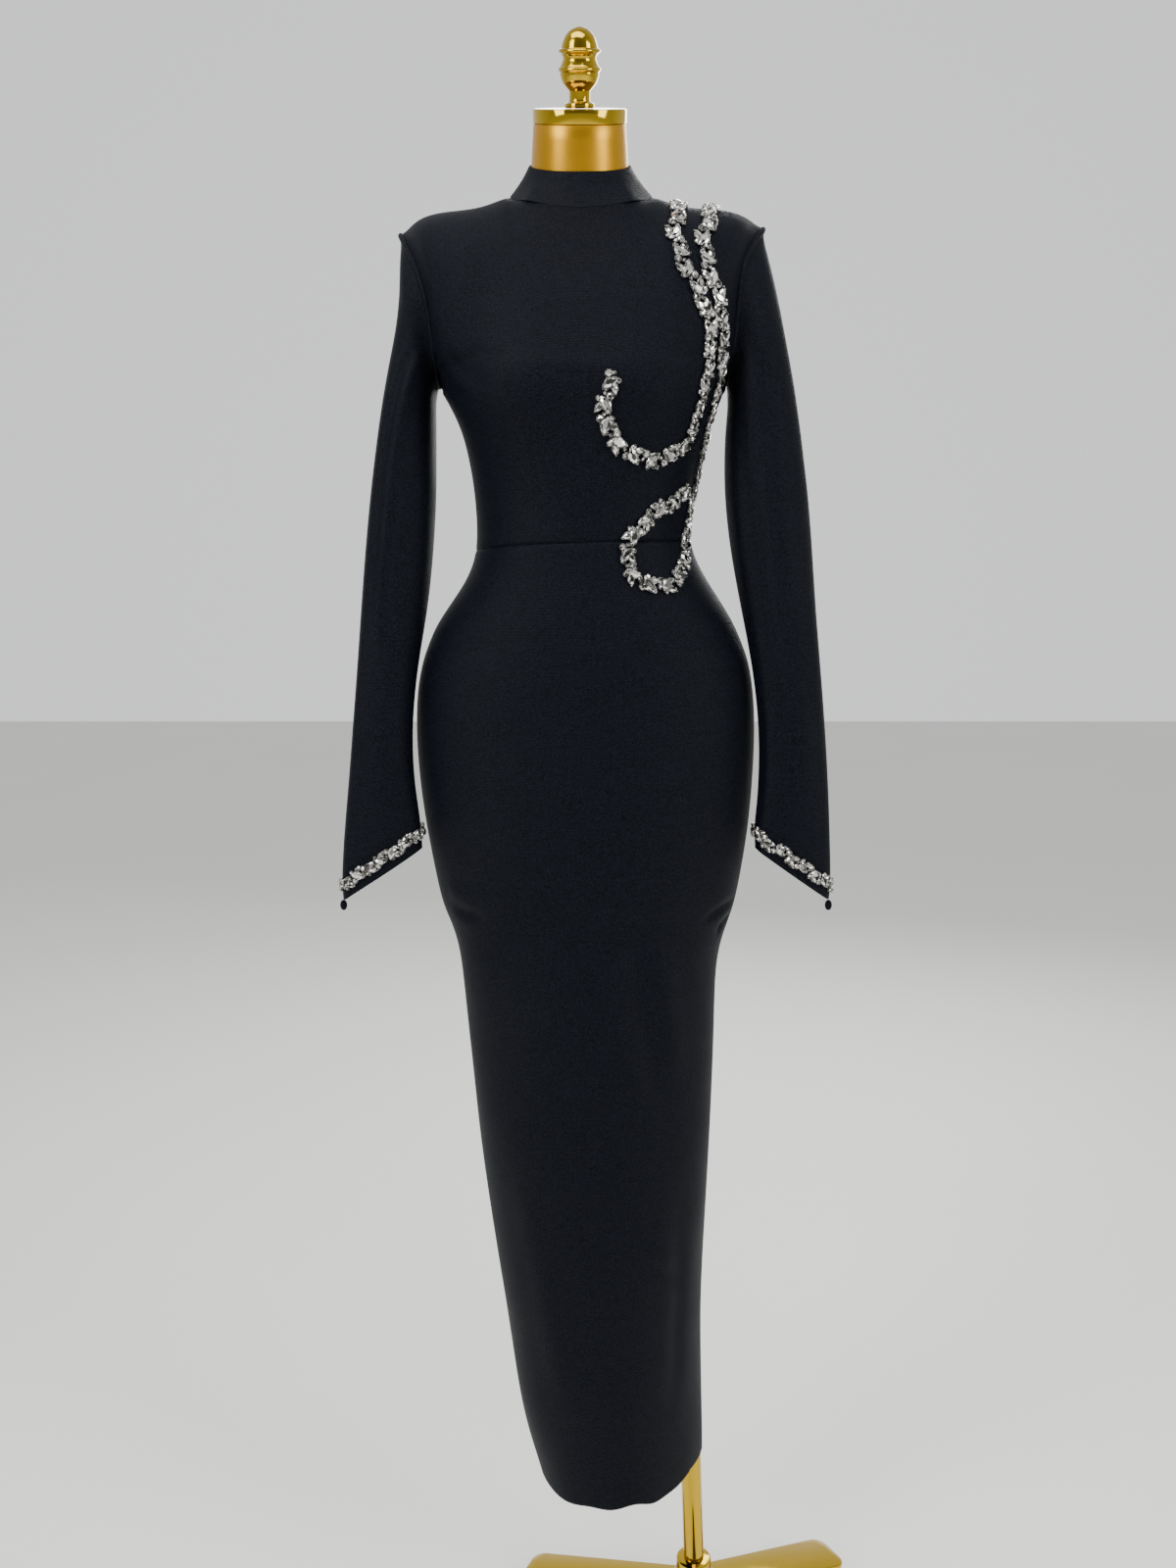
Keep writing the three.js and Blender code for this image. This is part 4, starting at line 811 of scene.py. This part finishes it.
for sleeve_name in SLEEVES:
    ring = armhole_ring(sleeve_name)
    for _ in range(RIDGE_SMOOTHING):
        ring = [(ring[k - 1] + ring[k] * 2 + ring[(k + 1) % len(ring)]) / 4 for k in range(len(ring))]
    name = "left_armhole_ridge" if sleeve_name == "sleeve_left" else "right_armhole_ridge"
    line = bpy.data.curves.new(name, "CURVE")
    line.dimensions = "3D"
    line.bevel_depth = RIDGE_RADIUS
    line.bevel_resolution = 3
    spline = line.splines.new("POLY")
    spline.points.add(len(ring) - 1)
    for point, place in zip(spline.points, ring):
        point.co = (*place, 1)
    spline.use_cyclic_u = True
    drawn = bpy.data.objects.new(name + "_line", line)
    bpy.context.collection.objects.link(drawn)
    mesh = bpy.data.meshes.new_from_object(drawn.evaluated_get(bpy.context.evaluated_depsgraph_get()))
    bpy.data.objects.remove(drawn)
    shape = bmesh.new()
    shape.from_mesh(mesh)
    ridge = add_object(name, shape, knit)
    settle(ridge, "root", "knit")
    print(name, len(ring), "points round")

# %% [markdown]
# The sheet is now unpicked into its panels. Each panel becomes a thin closed shell, its thickness laid
# inwards, and hides the solid that it stands for.

# %% Unpick the panels
CLOTH_THICKNESS = 1.3 * MM


def thicken(piece, thickness):
    modifier = piece.modifiers.new("thickness", "SOLIDIFY")
    modifier.thickness = thickness
    modifier.offset = -1
    return apply_modifiers(piece)


def unpick(name, number):
    shape = bmesh.new()
    shape.from_mesh(dress.data)
    others = [face for face in shape.faces if face.material_index != number]
    bmesh.ops.delete(shape, geom=others, context="FACES")
    for face in shape.faces:
        face.material_index = 0
    piece = add_object(name, shape, knit)
    area = sum(polygon.area for polygon in piece.data.polygons)
    print(name, "cloth", round(area, 4), "m2")
    return thicken(piece, CLOTH_THICKNESS)


# What each panel was cut to, in metres, and the share of that rectangle that the cut takes up.
CUTS = {
    "skirt_front": (0.42, 1.02, 0.87),
    "skirt_back_left": (0.21, 1.02, 0.87),
    "skirt_back_right": (0.21, 1.02, 0.87),
    "bodice_front": (0.44, 0.36, 0.78),
    "bodice_back_left": (0.22, 0.38, 0.74),
    "bodice_back_right": (0.22, 0.38, 0.74),
    "sleeve_left": (0.24, 0.66, 0.75),
    "sleeve_right": (0.24, 0.66, 0.75),
}
cloth_pieces = {}
for number, node_name in enumerate(PANELS):
    piece = unpick(node_name + "_cloth", number)
    settle(piece, "root", "knit", node_name)
    width, length, share = CUTS[node_name]
    cloth_pieces[node_name] = piece
bpy.data.objects.remove(dress)

# %% [markdown]
# The collar is one band, folded over at its top. It is made in the same way as the panels, but its rows
# are counted along the neck, which leans forward.

# %% Collar
NECK_TOP = Vector((-36.8, 20, 1591.8)) * MM
NECK_LEAN = math.radians(23)
NECK_AXIS = Vector((0, -math.sin(NECK_LEAN), math.cos(NECK_LEAN)))


def collar_middle(place):
    along = (place - NECK_TOP).dot(NECK_AXIS)
    return NECK_TOP + NECK_AXIS * along


collar_skin = outer_skin("collar", collar_middle)
course_layer = collar_skin.loops.layers.uv.new("knit")
for face in collar_skin.faces:
    for loop in face.loops:
        loop[course_layer].uv = (loop.vert.co.x, (loop.vert.co - NECK_TOP).dot(NECK_AXIS))
collar = add_object("collar_cloth", collar_skin, knit)
add_subdivision(collar, 3)
apply_modifiers(collar)
print("collar cloth", round(sum(p.area for p in collar.data.polygons), 4), "m2")
thicken(collar, CLOTH_THICKNESS)
settle(collar, "root", "knit", "collar")

# %% [markdown]
# Under the cloth is a limbless torso. Only its neck and its lower end can be seen, so its own grid is
# enough, smoothed once, with its sharp rims kept.

# %% Form


def crease_sharp(shape, over_degrees):
    layer = shape.edges.layers.float.get("crease_edge") or shape.edges.layers.float.new("crease_edge")
    for edge in shape.edges:
        if len(edge.link_faces) == 2 and edge.calc_face_angle(0) > math.radians(over_degrees):
            edge[layer] = 1.0


FORM_CLEARANCE = 4.4 * MM
form_shape = merged_copy("form_torso")
for vert, outward in [(vert, vert.normal.copy()) for vert in form_shape.verts]:
    vert.co -= outward * FORM_CLEARANCE
bmesh.ops.join_triangles(form_shape, faces=form_shape.faces, angle_face_threshold=0.6,
                         angle_shape_threshold=1.2)
crease_sharp(form_shape, 50)
form = add_object("torso_shell", form_shape, satin_gold)
add_subdivision(form, 2)
apply_modifiers(form)
settle(form, "root", "form_gold", "form_torso")

# %% [markdown]
# The neck, its cap and the finial are turned pieces. A half outline is spun round the axis and then
# stood on the neck's line. Between its hard corners the outline is rounded with a smooth curve.

# %% Turned pieces
SPIN_STEPS = 72
SHARP_DEGREES = 40


def smooth_outline(outline, corners, steps=4):
    """Points on a smooth curve through the outline, which stays sharp at its numbered corners."""
    made = []
    for k in range(len(outline) - 1):
        a, b = Vector(outline[k]), Vector(outline[k + 1])
        before = a if k == 0 or k in corners else Vector(outline[k - 1])
        after = b if k + 2 >= len(outline) or k + 1 in corners else Vector(outline[k + 2])
        for step in range(steps):
            t = step / steps
            made.append(0.5 * (2 * a + (b - before) * t + (2 * before - 5 * a + 4 * b - after) * t * t
                               + (3 * a - 3 * b + after - before) * t ** 3))
    made.append(Vector(outline[-1]))
    return made


def turned_piece(name, outline, foot, axis, material, steps=SPIN_STEPS):
    """Spins an outline of heights and radii, in millimetres, and stands it on a foot along an axis."""
    shape = bmesh.new()
    line = [shape.verts.new((point[1] * MM, 0, point[0] * MM)) for point in outline]
    edges = [shape.edges.new(pair) for pair in zip(line, line[1:])]
    bmesh.ops.spin(shape, geom=line + edges, cent=(0, 0, 0), axis=(0, 0, 1), angle=2 * math.pi,
                   steps=steps, use_merge=True, use_duplicate=False)
    bmesh.ops.remove_doubles(shape, verts=shape.verts, dist=1e-6)
    bmesh.ops.recalc_face_normals(shape, faces=shape.faces)
    for edge in shape.edges:
        edge.smooth = edge.calc_face_angle(0) < math.radians(SHARP_DEGREES)
    turn = Vector((0, 0, 1)).rotation_difference(Vector(axis)).to_matrix().to_4x4()
    bmesh.ops.transform(shape, matrix=Matrix.Translation(Vector(foot)) @ turn, verts=shape.verts)
    return add_object(name, shape, material)


NECK_OUTLINE = [(-29.7, 0), (-29.7, 48.6), (-15, 47.4), (0, 46.5), (12, 45.8), (24, 44.8), (35.6, 43.9),
                (36.2, 43.4), (36.2, 0)]
CAP_OUTLINE = [(36.5, 0), (36.5, 43.6), (36.9, 44.2), (37.6, 44.4), (47.6, 44.4), (48.4, 44.1),
               (48.9, 43.2), (49, 42.2), (49, 0)]
FINIAL_FOOT = 49.3
FINIAL_OUTLINE = [(0, 0), (0, 13.5), (2, 14), (4, 13.5), (5, 11), (6.6, 9.8), (14.2, 9.8), (16, 11.6),
                  (20.5, 15.8), (26.3, 18), (29.3, 18.2), (30.6, 19.5), (31.8, 19.9), (33, 19.5),
                  (34, 18.2), (40.3, 15.4), (44.3, 17.2), (45.6, 19.2), (46.8, 19.7), (48, 19), (49, 17),
                  (53, 16), (58.5, 13.6), (63.5, 8.8), (66, 3), (66.6, 0)]
FINIAL_CORNERS = (1, 3, 6, 10, 14, 16, 20)

# The photo shows the cap edge-on, so what is turned leans a little less than the collar does.
TURNED_LEAN = math.radians(21)
TURNED_AXIS = Vector((0, -math.sin(TURNED_LEAN), math.cos(TURNED_LEAN)))

neck = turned_piece("neck_turned", NECK_OUTLINE, NECK_TOP, TURNED_AXIS, satin_gold)
settle(neck, "root", "neck_gold", "neck_block")
cap = turned_piece("neck_cap_turned", CAP_OUTLINE, NECK_TOP, TURNED_AXIS, polished_gold)
settle(cap, "root", "cap_gold", "neck_cap")
finial = turned_piece("finial_turned", smooth_outline(FINIAL_OUTLINE, FINIAL_CORNERS),
                      NECK_TOP + TURNED_AXIS * FINIAL_FOOT * MM, TURNED_AXIS, polished_gold)
settle(finial, "root", "cap_gold", "finial")
print("finial", len(finial.data.polygons), "faces")

# %% [markdown]
# The stand is a tube in a hub, on three flat arms with rubber feet. Tube, hub and socket are turned. An
# arm keeps its solid's shape, but its edges are rounded, because a polished edge is seen by the light
# that its rounding catches.

# %% Stand
POLE_RADIUS = 11.3
POLE_FOOT = Vector((91.1, 43, 104.6)) * MM
POLE_TOP = Vector((62, 43, 854.9)) * MM

pole_length = (POLE_TOP - POLE_FOOT).length / MM
pole_outline = [(0, 0), (0, POLE_RADIUS - 0.5), (0.5, POLE_RADIUS), (pole_length - 0.5, POLE_RADIUS),
                (pole_length, POLE_RADIUS - 0.5), (pole_length, 0)]
pole = turned_piece("pole_tube", pole_outline, POLE_FOOT, POLE_TOP - POLE_FOOT, polished_gold, 96)
settle(pole, "root", "stand_gold", "pole")

socket_outline = [(855.7, 0), (855.7, 18.6), (856, 19.6), (857, 20), (866.6, 20), (867.4, 19.7),
                  (867.7, 18.8), (867.7, 0)]
socket = turned_piece("pole_socket_turned", socket_outline, (0.062, 0.043, 0), (0, 0, 1), polished_gold)
settle(socket, "root", "stand_gold", "pole_socket")

hub_outline = [(52, 0), (52, 23.2), (52.8, 24), (81, 24), (82.6, 23.4), (84.2, 20.6), (85.4, 19.5),
               (101.6, 19.5), (103.2, 19), (104, 17.6), (104, 0)]
hub = turned_piece("hub_turned", hub_outline, (0.0911, 0.043, 0), (0, 0, 1), polished_gold)
settle(hub, "root", "stand_gold", "hub")


def rounded_copy(name, made_name, material, width, segments=3, over_degrees=25):
    """A copy of a node with its sharp edges rounded."""
    shape = merged_copy(name)
    bmesh.ops.dissolve_limit(shape, angle_limit=math.radians(1.0), verts=shape.verts, edges=shape.edges)
    sharp = [edge for edge in shape.edges if edge.calc_face_angle(0) > math.radians(over_degrees)]
    bmesh.ops.bevel(shape, geom=sharp, offset=width * MM, offset_type="OFFSET", segments=segments,
                    profile=0.5, affect="EDGES", material=-1, clamp_overlap=True)
    for edge in shape.edges:
        edge.smooth = edge.calc_face_angle(0) < math.radians(30)
    return add_object(made_name, shape, material)


for number in (1, 2, 3):
    arm = rounded_copy(f"arm_{number}", f"arm_{number}_plated", polished_gold, 1.6, 4, 20)
    settle(arm, "root", "stand_gold", f"arm_{number}")
    foot = rounded_copy(f"foot_{number}", f"foot_{number}_moulded", foot_rubber, 0.5, 2, 40)
    settle(foot, "root", "foot_rubber", f"foot_{number}")

# %% [markdown]
# The stones are sewn on in clusters: a curved pointed stone, a smaller one beside it and two or three
# round ones, in claw settings. One cut of stone and one setting are modelled, and each band joins copies
# of them, widened, pointed and bent.

# %% One stone and one setting
STONE_SIDES = 8


def cut_stone():
    """A stone of radius 1 and height 1: a girdle, two rows of slanting facets, and a small table."""
    shape = bmesh.new()
    bmesh.ops.create_cone(shape, cap_ends=True, segments=STONE_SIDES, radius1=0.96, radius2=1.0, depth=0.4)
    bmesh.ops.translate(shape, verts=shape.verts, vec=(0, 0, 0.2))
    top = max(shape.faces, key=lambda face: face.calc_center_median().z)
    bmesh.ops.inset_region(shape, faces=[top], thickness=0.26, depth=0.36)
    lower_crown = [face for face in shape.faces if 0.42 < face.calc_center_median().z < 0.74]
    bmesh.ops.inset_region(shape, faces=[top], thickness=0.32, depth=0.24)
    poked = bmesh.ops.poke(shape, faces=lower_crown)
    for vert in poked["verts"]:
        vert.co += Vector((vert.co.x, vert.co.y, 0)).normalized() * 0.05
    return shape


def claw_setting():
    """A shallow cup of radius 1.1 with four claws that bend over the stone's edge."""
    shape = bmesh.new()
    bmesh.ops.create_cone(shape, cap_ends=True, segments=STONE_SIDES, radius1=0.95, radius2=1.1, depth=0.5)
    bmesh.ops.translate(shape, verts=shape.verts, vec=(0, 0, 0.22))
    for k in range(4):
        turn = Matrix.Rotation(math.pi / 4 + k * math.pi / 2, 4, "Z")
        claw = bmesh.ops.create_cone(shape, cap_ends=True, segments=4, radius1=0.17, radius2=0.1, depth=0.6)
        lean = Matrix.Translation((0.98, 0, 0.66)) @ Matrix.Rotation(math.radians(-26), 4, "Y")
        bmesh.ops.transform(shape, matrix=turn @ lean, verts=claw["verts"])
    return shape


def as_mesh(name, shape):
    mesh = bpy.data.meshes.new(name)
    shape.to_mesh(mesh)
    shape.free()
    return mesh


stone_mesh = as_mesh("one_stone", cut_stone())
setting_mesh = as_mesh("one_setting", claw_setting())
print("a stone has", len(stone_mesh.polygons), "faces, a setting", len(setting_mesh.polygons))

# %% [markdown]
# The bands of the model say where the clusters go. A band is a wall over the cloth that rises to its full
# height once for each cluster, at two corners side by side. Those corners are found by their height, and
# the clusters are then put in order along the band.

# %% Where the clusters are
CLUSTER_HEIGHT = 5.6 * MM
HEIGHT_PLAY = 0.02 * MM
UPRIGHT = 0.94
APART = 12 * MM
CARRIERS = {
    "trim_bust": tuple(TRUNK_PANELS),
    "trim_side": tuple(TRUNK_PANELS),
    "trim_cuff_left": ("sleeve_left",),
    "trim_cuff_right": ("sleeve_right",),
}


def tree_of(names):
    """A search tree over the finished cloth of some panels."""
    return surface_tree(*(cloth_pieces[name].data for name in names))


def cluster_frames(node_name, cloth):
    """Each cluster's foot on the cloth and its direction up. A high corner of the band stands at the
    clusters' full height over its foot, and an edge joins the two high corners of a cluster."""
    shape = merged_copy(node_name)
    tree = corner_tree([vert.co for vert in shape.verts])
    foot_of = {}
    for vert in shape.verts:
        for place, index, distance in tree.find_range(vert.co, CLUSTER_HEIGHT + HEIGHT_PLAY):
            if distance < CLUSTER_HEIGHT - HEIGHT_PLAY:
                continue
            if cloth.find_nearest(vert.co)[3] > cloth.find_nearest(place)[3]:
                foot_of[vert] = place.copy()
    frames = []
    for edge in shape.edges:
        if all(vert in foot_of for vert in edge.verts):
            foot = (foot_of[edge.verts[0]] + foot_of[edge.verts[1]]) / 2
            up = ((edge.verts[0].co + edge.verts[1].co) / 2 - foot).normalized()
            upright = up.dot(cloth.find_nearest(foot)[1]) > UPRIGHT
            if upright and all((foot - other).length > APART for other, _ in frames):
                frames.append((foot, up))
    shape.free()
    return frames


def chain(frames):
    """Puts the clusters in order, each next to the nearest one, from the highest."""
    left = sorted(frames, key=lambda pair: pair[0].z)
    ordered = [left.pop()]
    while left:
        following = min(left, key=lambda pair: (pair[0] - ordered[-1][0]).length)
        left.remove(following)
        ordered.append(following)
    return ordered


def respaced(frames, cloth, count):
    """Spreads a number of clusters evenly round a closed band."""
    ring = frames + frames[:1]
    lengths = [0.0]
    for (a, _), (b, _) in zip(ring, ring[1:]):
        lengths.append(lengths[-1] + (b - a).length)
    made = []
    for k in range(count):
        wanted = lengths[-1] * k / count
        at = max(n for n, length in enumerate(lengths[:-1]) if length <= wanted)
        share = (wanted - lengths[at]) / (lengths[at + 1] - lengths[at])
        foot, up = cloth.find_nearest(ring[at][0].lerp(ring[at + 1][0], share))[:2]
        made.append((foot, (up + ring[at][1].lerp(ring[at + 1][1], share)).normalized()))
    return made


CUFF_CLUSTERS = 17
cloth_of = {panels: tree_of(panels) for panels in set(CARRIERS.values())}
band_cloth = {name: cloth_of[panels] for name, panels in CARRIERS.items()}
band_frames = {name: chain(cluster_frames(name, cloth)) for name, cloth in band_cloth.items()}
for name in ("trim_cuff_left", "trim_cuff_right"):
    band_frames[name] = respaced(band_frames[name], band_cloth[name], CUFF_CLUSTERS)
for node_name, ordered in band_frames.items():
    gaps = [(a[0] - b[0]).length / MM for a, b in zip(ordered, ordered[1:])]
    print(node_name, len(ordered), "clusters,", round(min(gaps), 1), "to", round(max(gaps), 1), "mm apart")

# %% [markdown]
# A cluster is a short list of stones, each with its place along and across the band, its half length and
# half width, its turn, and whether it is pointed. Every second cluster is mirrored, and small seeded
# changes keep two clusters from being the same. Each stone stands on the cloth under it, so a band bends
# over the bust as the real one does, which a flat strip of stones wrapped on by a modifier would not.

# %% Lay the stones
STONE_HEIGHT = 4.4
CLUSTER_STONES = [
    # along, across, half length, half width, turn in degrees, pointed, how far it is raised
    (-0.6, -1.0, 8.4, 4.2, 36, True, 0.3),
    (-4.2, 4.9, 5.8, 2.9, -22, True, 0.0),
    (5.4, -4.1, 3.3, 3.3, 0, False, 0.0),
    (2.6, 6.2, 2.2, 2.2, 0, False, 0.2),
    (-7.4, -2.4, 1.9, 1.9, 20, False, 0.2),
    (8.0, 0.6, 1.7, 1.7, 10, False, 0.2),
]
# Painted reflection levels: how bright each facet is painted, standing in for what it throws back.
PAINTED_REFLECTION_LEVELS = (0.0, 0.0, 0.06, 0.2, 0.5, 0.85, 1.0, 1.0)
LEAF_FULLNESS, LEAF_TIP = 1.12, 0.02
TURN_PLAY, TIP_PLAY = 7, 9
SETTING_LIFT, STONE_LIFT = 0.5, 0.5


def shaped(mesh, half_length, half_width, height, pointed, bend):
    """A copy of a unit stone or setting, stretched, pointed at both ends and bent."""
    shape = bmesh.new()
    shape.from_mesh(mesh)
    for vert in shape.verts:
        x, y, z = vert.co
        if pointed:
            y *= math.sqrt(max(1 - min(x * x, 1.0), LEAF_TIP)) * LEAF_FULLNESS
        vert.co = Vector((x * half_length, y * half_width + bend * x * x, z * height)) * MM
    return shape


def lay_band(node_name, stones_name, settings_name, scale=1.0, seed=1, closed=False):
    """Joins the stones and the settings of a band."""
    dice = random.Random(seed)
    ordered, cloth = band_frames[node_name], band_cloth[node_name]
    last = len(ordered) - 1
    stones, settings = bmesh.new(), bmesh.new()
    for k, (centre, normal) in enumerate(ordered):
        before = ordered[k - 1 if k or closed else 0][0]
        after = ordered[(k + 1) % len(ordered) if closed else min(k + 1, last)][0]
        ahead = after - before
        ahead = (ahead - normal * ahead.dot(normal)).normalized()
        across = normal.cross(ahead)
        mirror = 1 if k % 2 else -1
        for along, side, half_length, half_width, turn, pointed, raised in CLUSTER_STONES:
            along = (along + dice.uniform(-0.5, 0.5)) * scale
            side = (side + dice.uniform(-0.4, 0.4)) * mirror * scale
            foot, up = cloth.find_nearest(centre + (ahead * along + across * side) * MM)[:2]
            up = (up + 2 * normal).normalized()
            forward = (ahead - up * ahead.dot(up)).normalized()
            frame_turn = Matrix((forward, up.cross(forward), up)).transposed().to_4x4()
            spin = Matrix.Rotation(math.radians(turn + dice.uniform(-TURN_PLAY, TURN_PLAY)) * mirror, 4, "Z")
            tip = Matrix.Rotation(math.radians(dice.uniform(-TIP_PLAY, TIP_PLAY)), 4, "Y")
            place = Matrix.Translation(foot + up * (SETTING_LIFT + raised) * MM) @ frame_turn @ spin @ tip
            size = scale * dice.uniform(0.94, 1.06)
            bend = (1.7 if pointed and half_length > 7 else 0.7 if pointed else 0) * mirror * size
            height = STONE_HEIGHT * (0.5 + 0.09 * half_width) * scale
            for target, mesh in ((stones, stone_mesh), (settings, setting_mesh)):
                lift = STONE_LIFT if target is stones else 0.0
                one = shaped(mesh, half_length * size, half_width * size, height, pointed, bend)
                raise_it = Matrix.Translation((0, 0, lift * MM))
                bmesh.ops.transform(one, matrix=place @ raise_it, verts=one.verts)
                copy = as_mesh("copy", one)
                target.from_mesh(copy)
                bpy.data.meshes.remove(copy)
    # Each facet gets one of these painted reflection levels at random.
    reflection_layer = stones.faces.layers.float.new("painted_facet_reflection")
    for face in stones.faces:
        face[reflection_layer] = dice.choice(PAINTED_REFLECTION_LEVELS)
    made = [add_object(stones_name, stones, stone_glass, smooth=False),
            add_object(settings_name, settings, setting_silver, smooth=False)]
    settle(made[0], "root", "crystal", node_name)
    settle(made[1], "root", "crystal")
    print(stones_name, len(ordered) * len(CLUSTER_STONES), "stones")


lay_band("trim_bust", "bust_stones", "bust_settings", 1.06, seed=11)
lay_band("trim_side", "side_stones", "side_settings", 1.06, seed=23)
lay_band("trim_cuff_left", "left_cuff_stones", "left_cuff_settings", 0.86, seed=37, closed=True)
lay_band("trim_cuff_right", "right_cuff_stones", "right_cuff_settings", 0.86, seed=41, closed=True)

# %% [markdown]
# At each cuff's point hangs a small knob of cloth, where the hem's end was turned and knotted.

# %% Cuff knobs


def sewn_knob(node_name, made_name):
    low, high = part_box(node_name)
    shape = bmesh.new()
    bmesh.ops.create_uvsphere(shape, u_segments=20, v_segments=12, radius=1.0)
    size = (high - low) / 2
    bmesh.ops.scale(shape, vec=size, verts=shape.verts)
    bmesh.ops.translate(shape, vec=(low + high) / 2, verts=shape.verts)
    layer = shape.loops.layers.uv.new("knit")
    for face in shape.faces:
        for loop in face.loops:
            loop[layer].uv = (loop.vert.co.x, loop.vert.co.z)
    knob = add_object(made_name, shape, knit)
    return settle(knob, "root", "knit", node_name)


sewn_knob("cuff_knob_left", "left_cuff_knob")
sewn_knob("cuff_knob_right", "right_cuff_knob")

# %% [markdown]
# The zip runs from the collar to the hips. Its coil is a row of nylon turns on each side that hook into
# one another, on a narrow woven tape. One turn is modelled with a few faces and repeated up the line.

# %% Zip
TOOTH_PITCH = 1.7
TOOTH_SIZE = Vector((1.5, 0.55, 0.5))
ZIP_END = 2 * MM
COLLAR_FOOT = 1.56
CENTRE_LINE_DEGREE = 6
TOOTH_SIDE, TOOTH_LIFT = 0.8, 0.3

tape = add_object("zip_tape", merged_copy("zip_coil"), zip_nylon, smooth=False)
settle(tape, "root", "zip_coil", "zip_coil")
tape_points = read_vectors(tape.data.vertices, "co")
centre_line = numpy.polynomial.Polynomial.fit(tape_points[:, 2], tape_points[:, 0], CENTRE_LINE_DEGREE)
zip_tree = surface_tree(tape.data)


def zip_spot(height):
    """A place on the middle of the tape's outer side, and its outward direction."""
    start = Vector((centre_line(height), 1, height))
    return zip_tree.ray_cast(start, Vector((0, -1, 0)))[:2]


TAPE_REACH = 11 * MM
TAPE_SINK = 2.1 * MM
TAPE_ROWS = 90
TAPE_COLUMNS = 4
TAPE_BELOW = 12 * MM
UNDER_COIL = 0.3

zip_low, zip_high = (corner.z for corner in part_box("zip_coil"))
back_tree = tree_of(("bodice_back_left", "bodice_back_right", "skirt_back_left", "skirt_back_right"))
woven = bmesh.new()
bmesh.ops.create_grid(woven, x_segments=TAPE_COLUMNS, y_segments=TAPE_ROWS, size=1)
for vert in woven.verts:
    share = (vert.co.y + 1) / 2
    height = zip_low - TAPE_BELOW + share * (zip_high - ZIP_END - zip_low + TAPE_BELOW)
    middle, outward = zip_spot(min(max(height, zip_low + ZIP_END), zip_high - ZIP_END))
    start = Vector((centre_line(min(max(height, zip_low), zip_high)) + vert.co.x * TAPE_REACH, 1, height))
    side_place, side_outward = back_tree.ray_cast(start, Vector((0, -1, 0)))[:2]
    if side_place is None or height > COLLAR_FOOT or abs(vert.co.x) < UNDER_COIL:
        side_place, side_outward = Vector((start.x, middle.y, height)), outward
    vert.co = side_place - side_outward * TAPE_SINK
tape_backing = add_object("zip_backing", woven, zip_nylon)
thicken(tape_backing, 0.5 * MM)
settle(tape_backing, "root", "zip_coil")

# %% [markdown]
# The turns of the coil stand on the strip, left and right in turn, and climb along it.

# %% Coil of the zip
coil = bmesh.new()
height = zip_low + ZIP_END
side = 1
count = 0
while height < zip_high - ZIP_END:
    place, outward = zip_spot(height)
    upward = outward.cross(Vector((1, 0, 0))).normalized()
    if upward.z < 0:
        upward.negate()
    turn = Matrix((Vector((1, 0, 0)), outward, upward)).transposed().to_4x4()
    tooth = bmesh.ops.create_uvsphere(coil, u_segments=6, v_segments=4, radius=1.0)["verts"]
    bmesh.ops.scale(coil, vec=TOOTH_SIZE * MM, verts=tooth)
    shift = Matrix.Translation(place + outward * TOOTH_LIFT * MM + Vector((side * TOOTH_SIDE * MM, 0, 0)))
    bmesh.ops.transform(coil, matrix=shift @ turn, verts=tooth)
    side = -side
    count += 1
    height += upward.z * TOOTH_PITCH / 2 * MM
teeth = add_object("zip_teeth", coil, zip_nylon)
settle(teeth, "root", "zip_coil")
print("zip turns:", count)

slider = rounded_copy("zip_slider", "zip_slider_cast", zip_enamel, 0.35, 2, 40)
settle(slider, "root", "zip_metal", "zip_slider")
pull = rounded_copy("zip_pull", "zip_pull_cast", zip_enamel, 0.2, 2, 40)
settle(pull, "zip_pull", "zip_metal", "zip_pull")

# %% [markdown]
# At the end the box of the finished look and the box of the model are printed side by side, since the
# finish may be only a little larger or smaller than the solids that it replaces.

# %% Print the boxes and finish
new_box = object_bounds()
for label, box in (("cad", cad_box), ("visual", new_box)):
    print(label, [[round(value, 4) for value in corner] for corner in box])
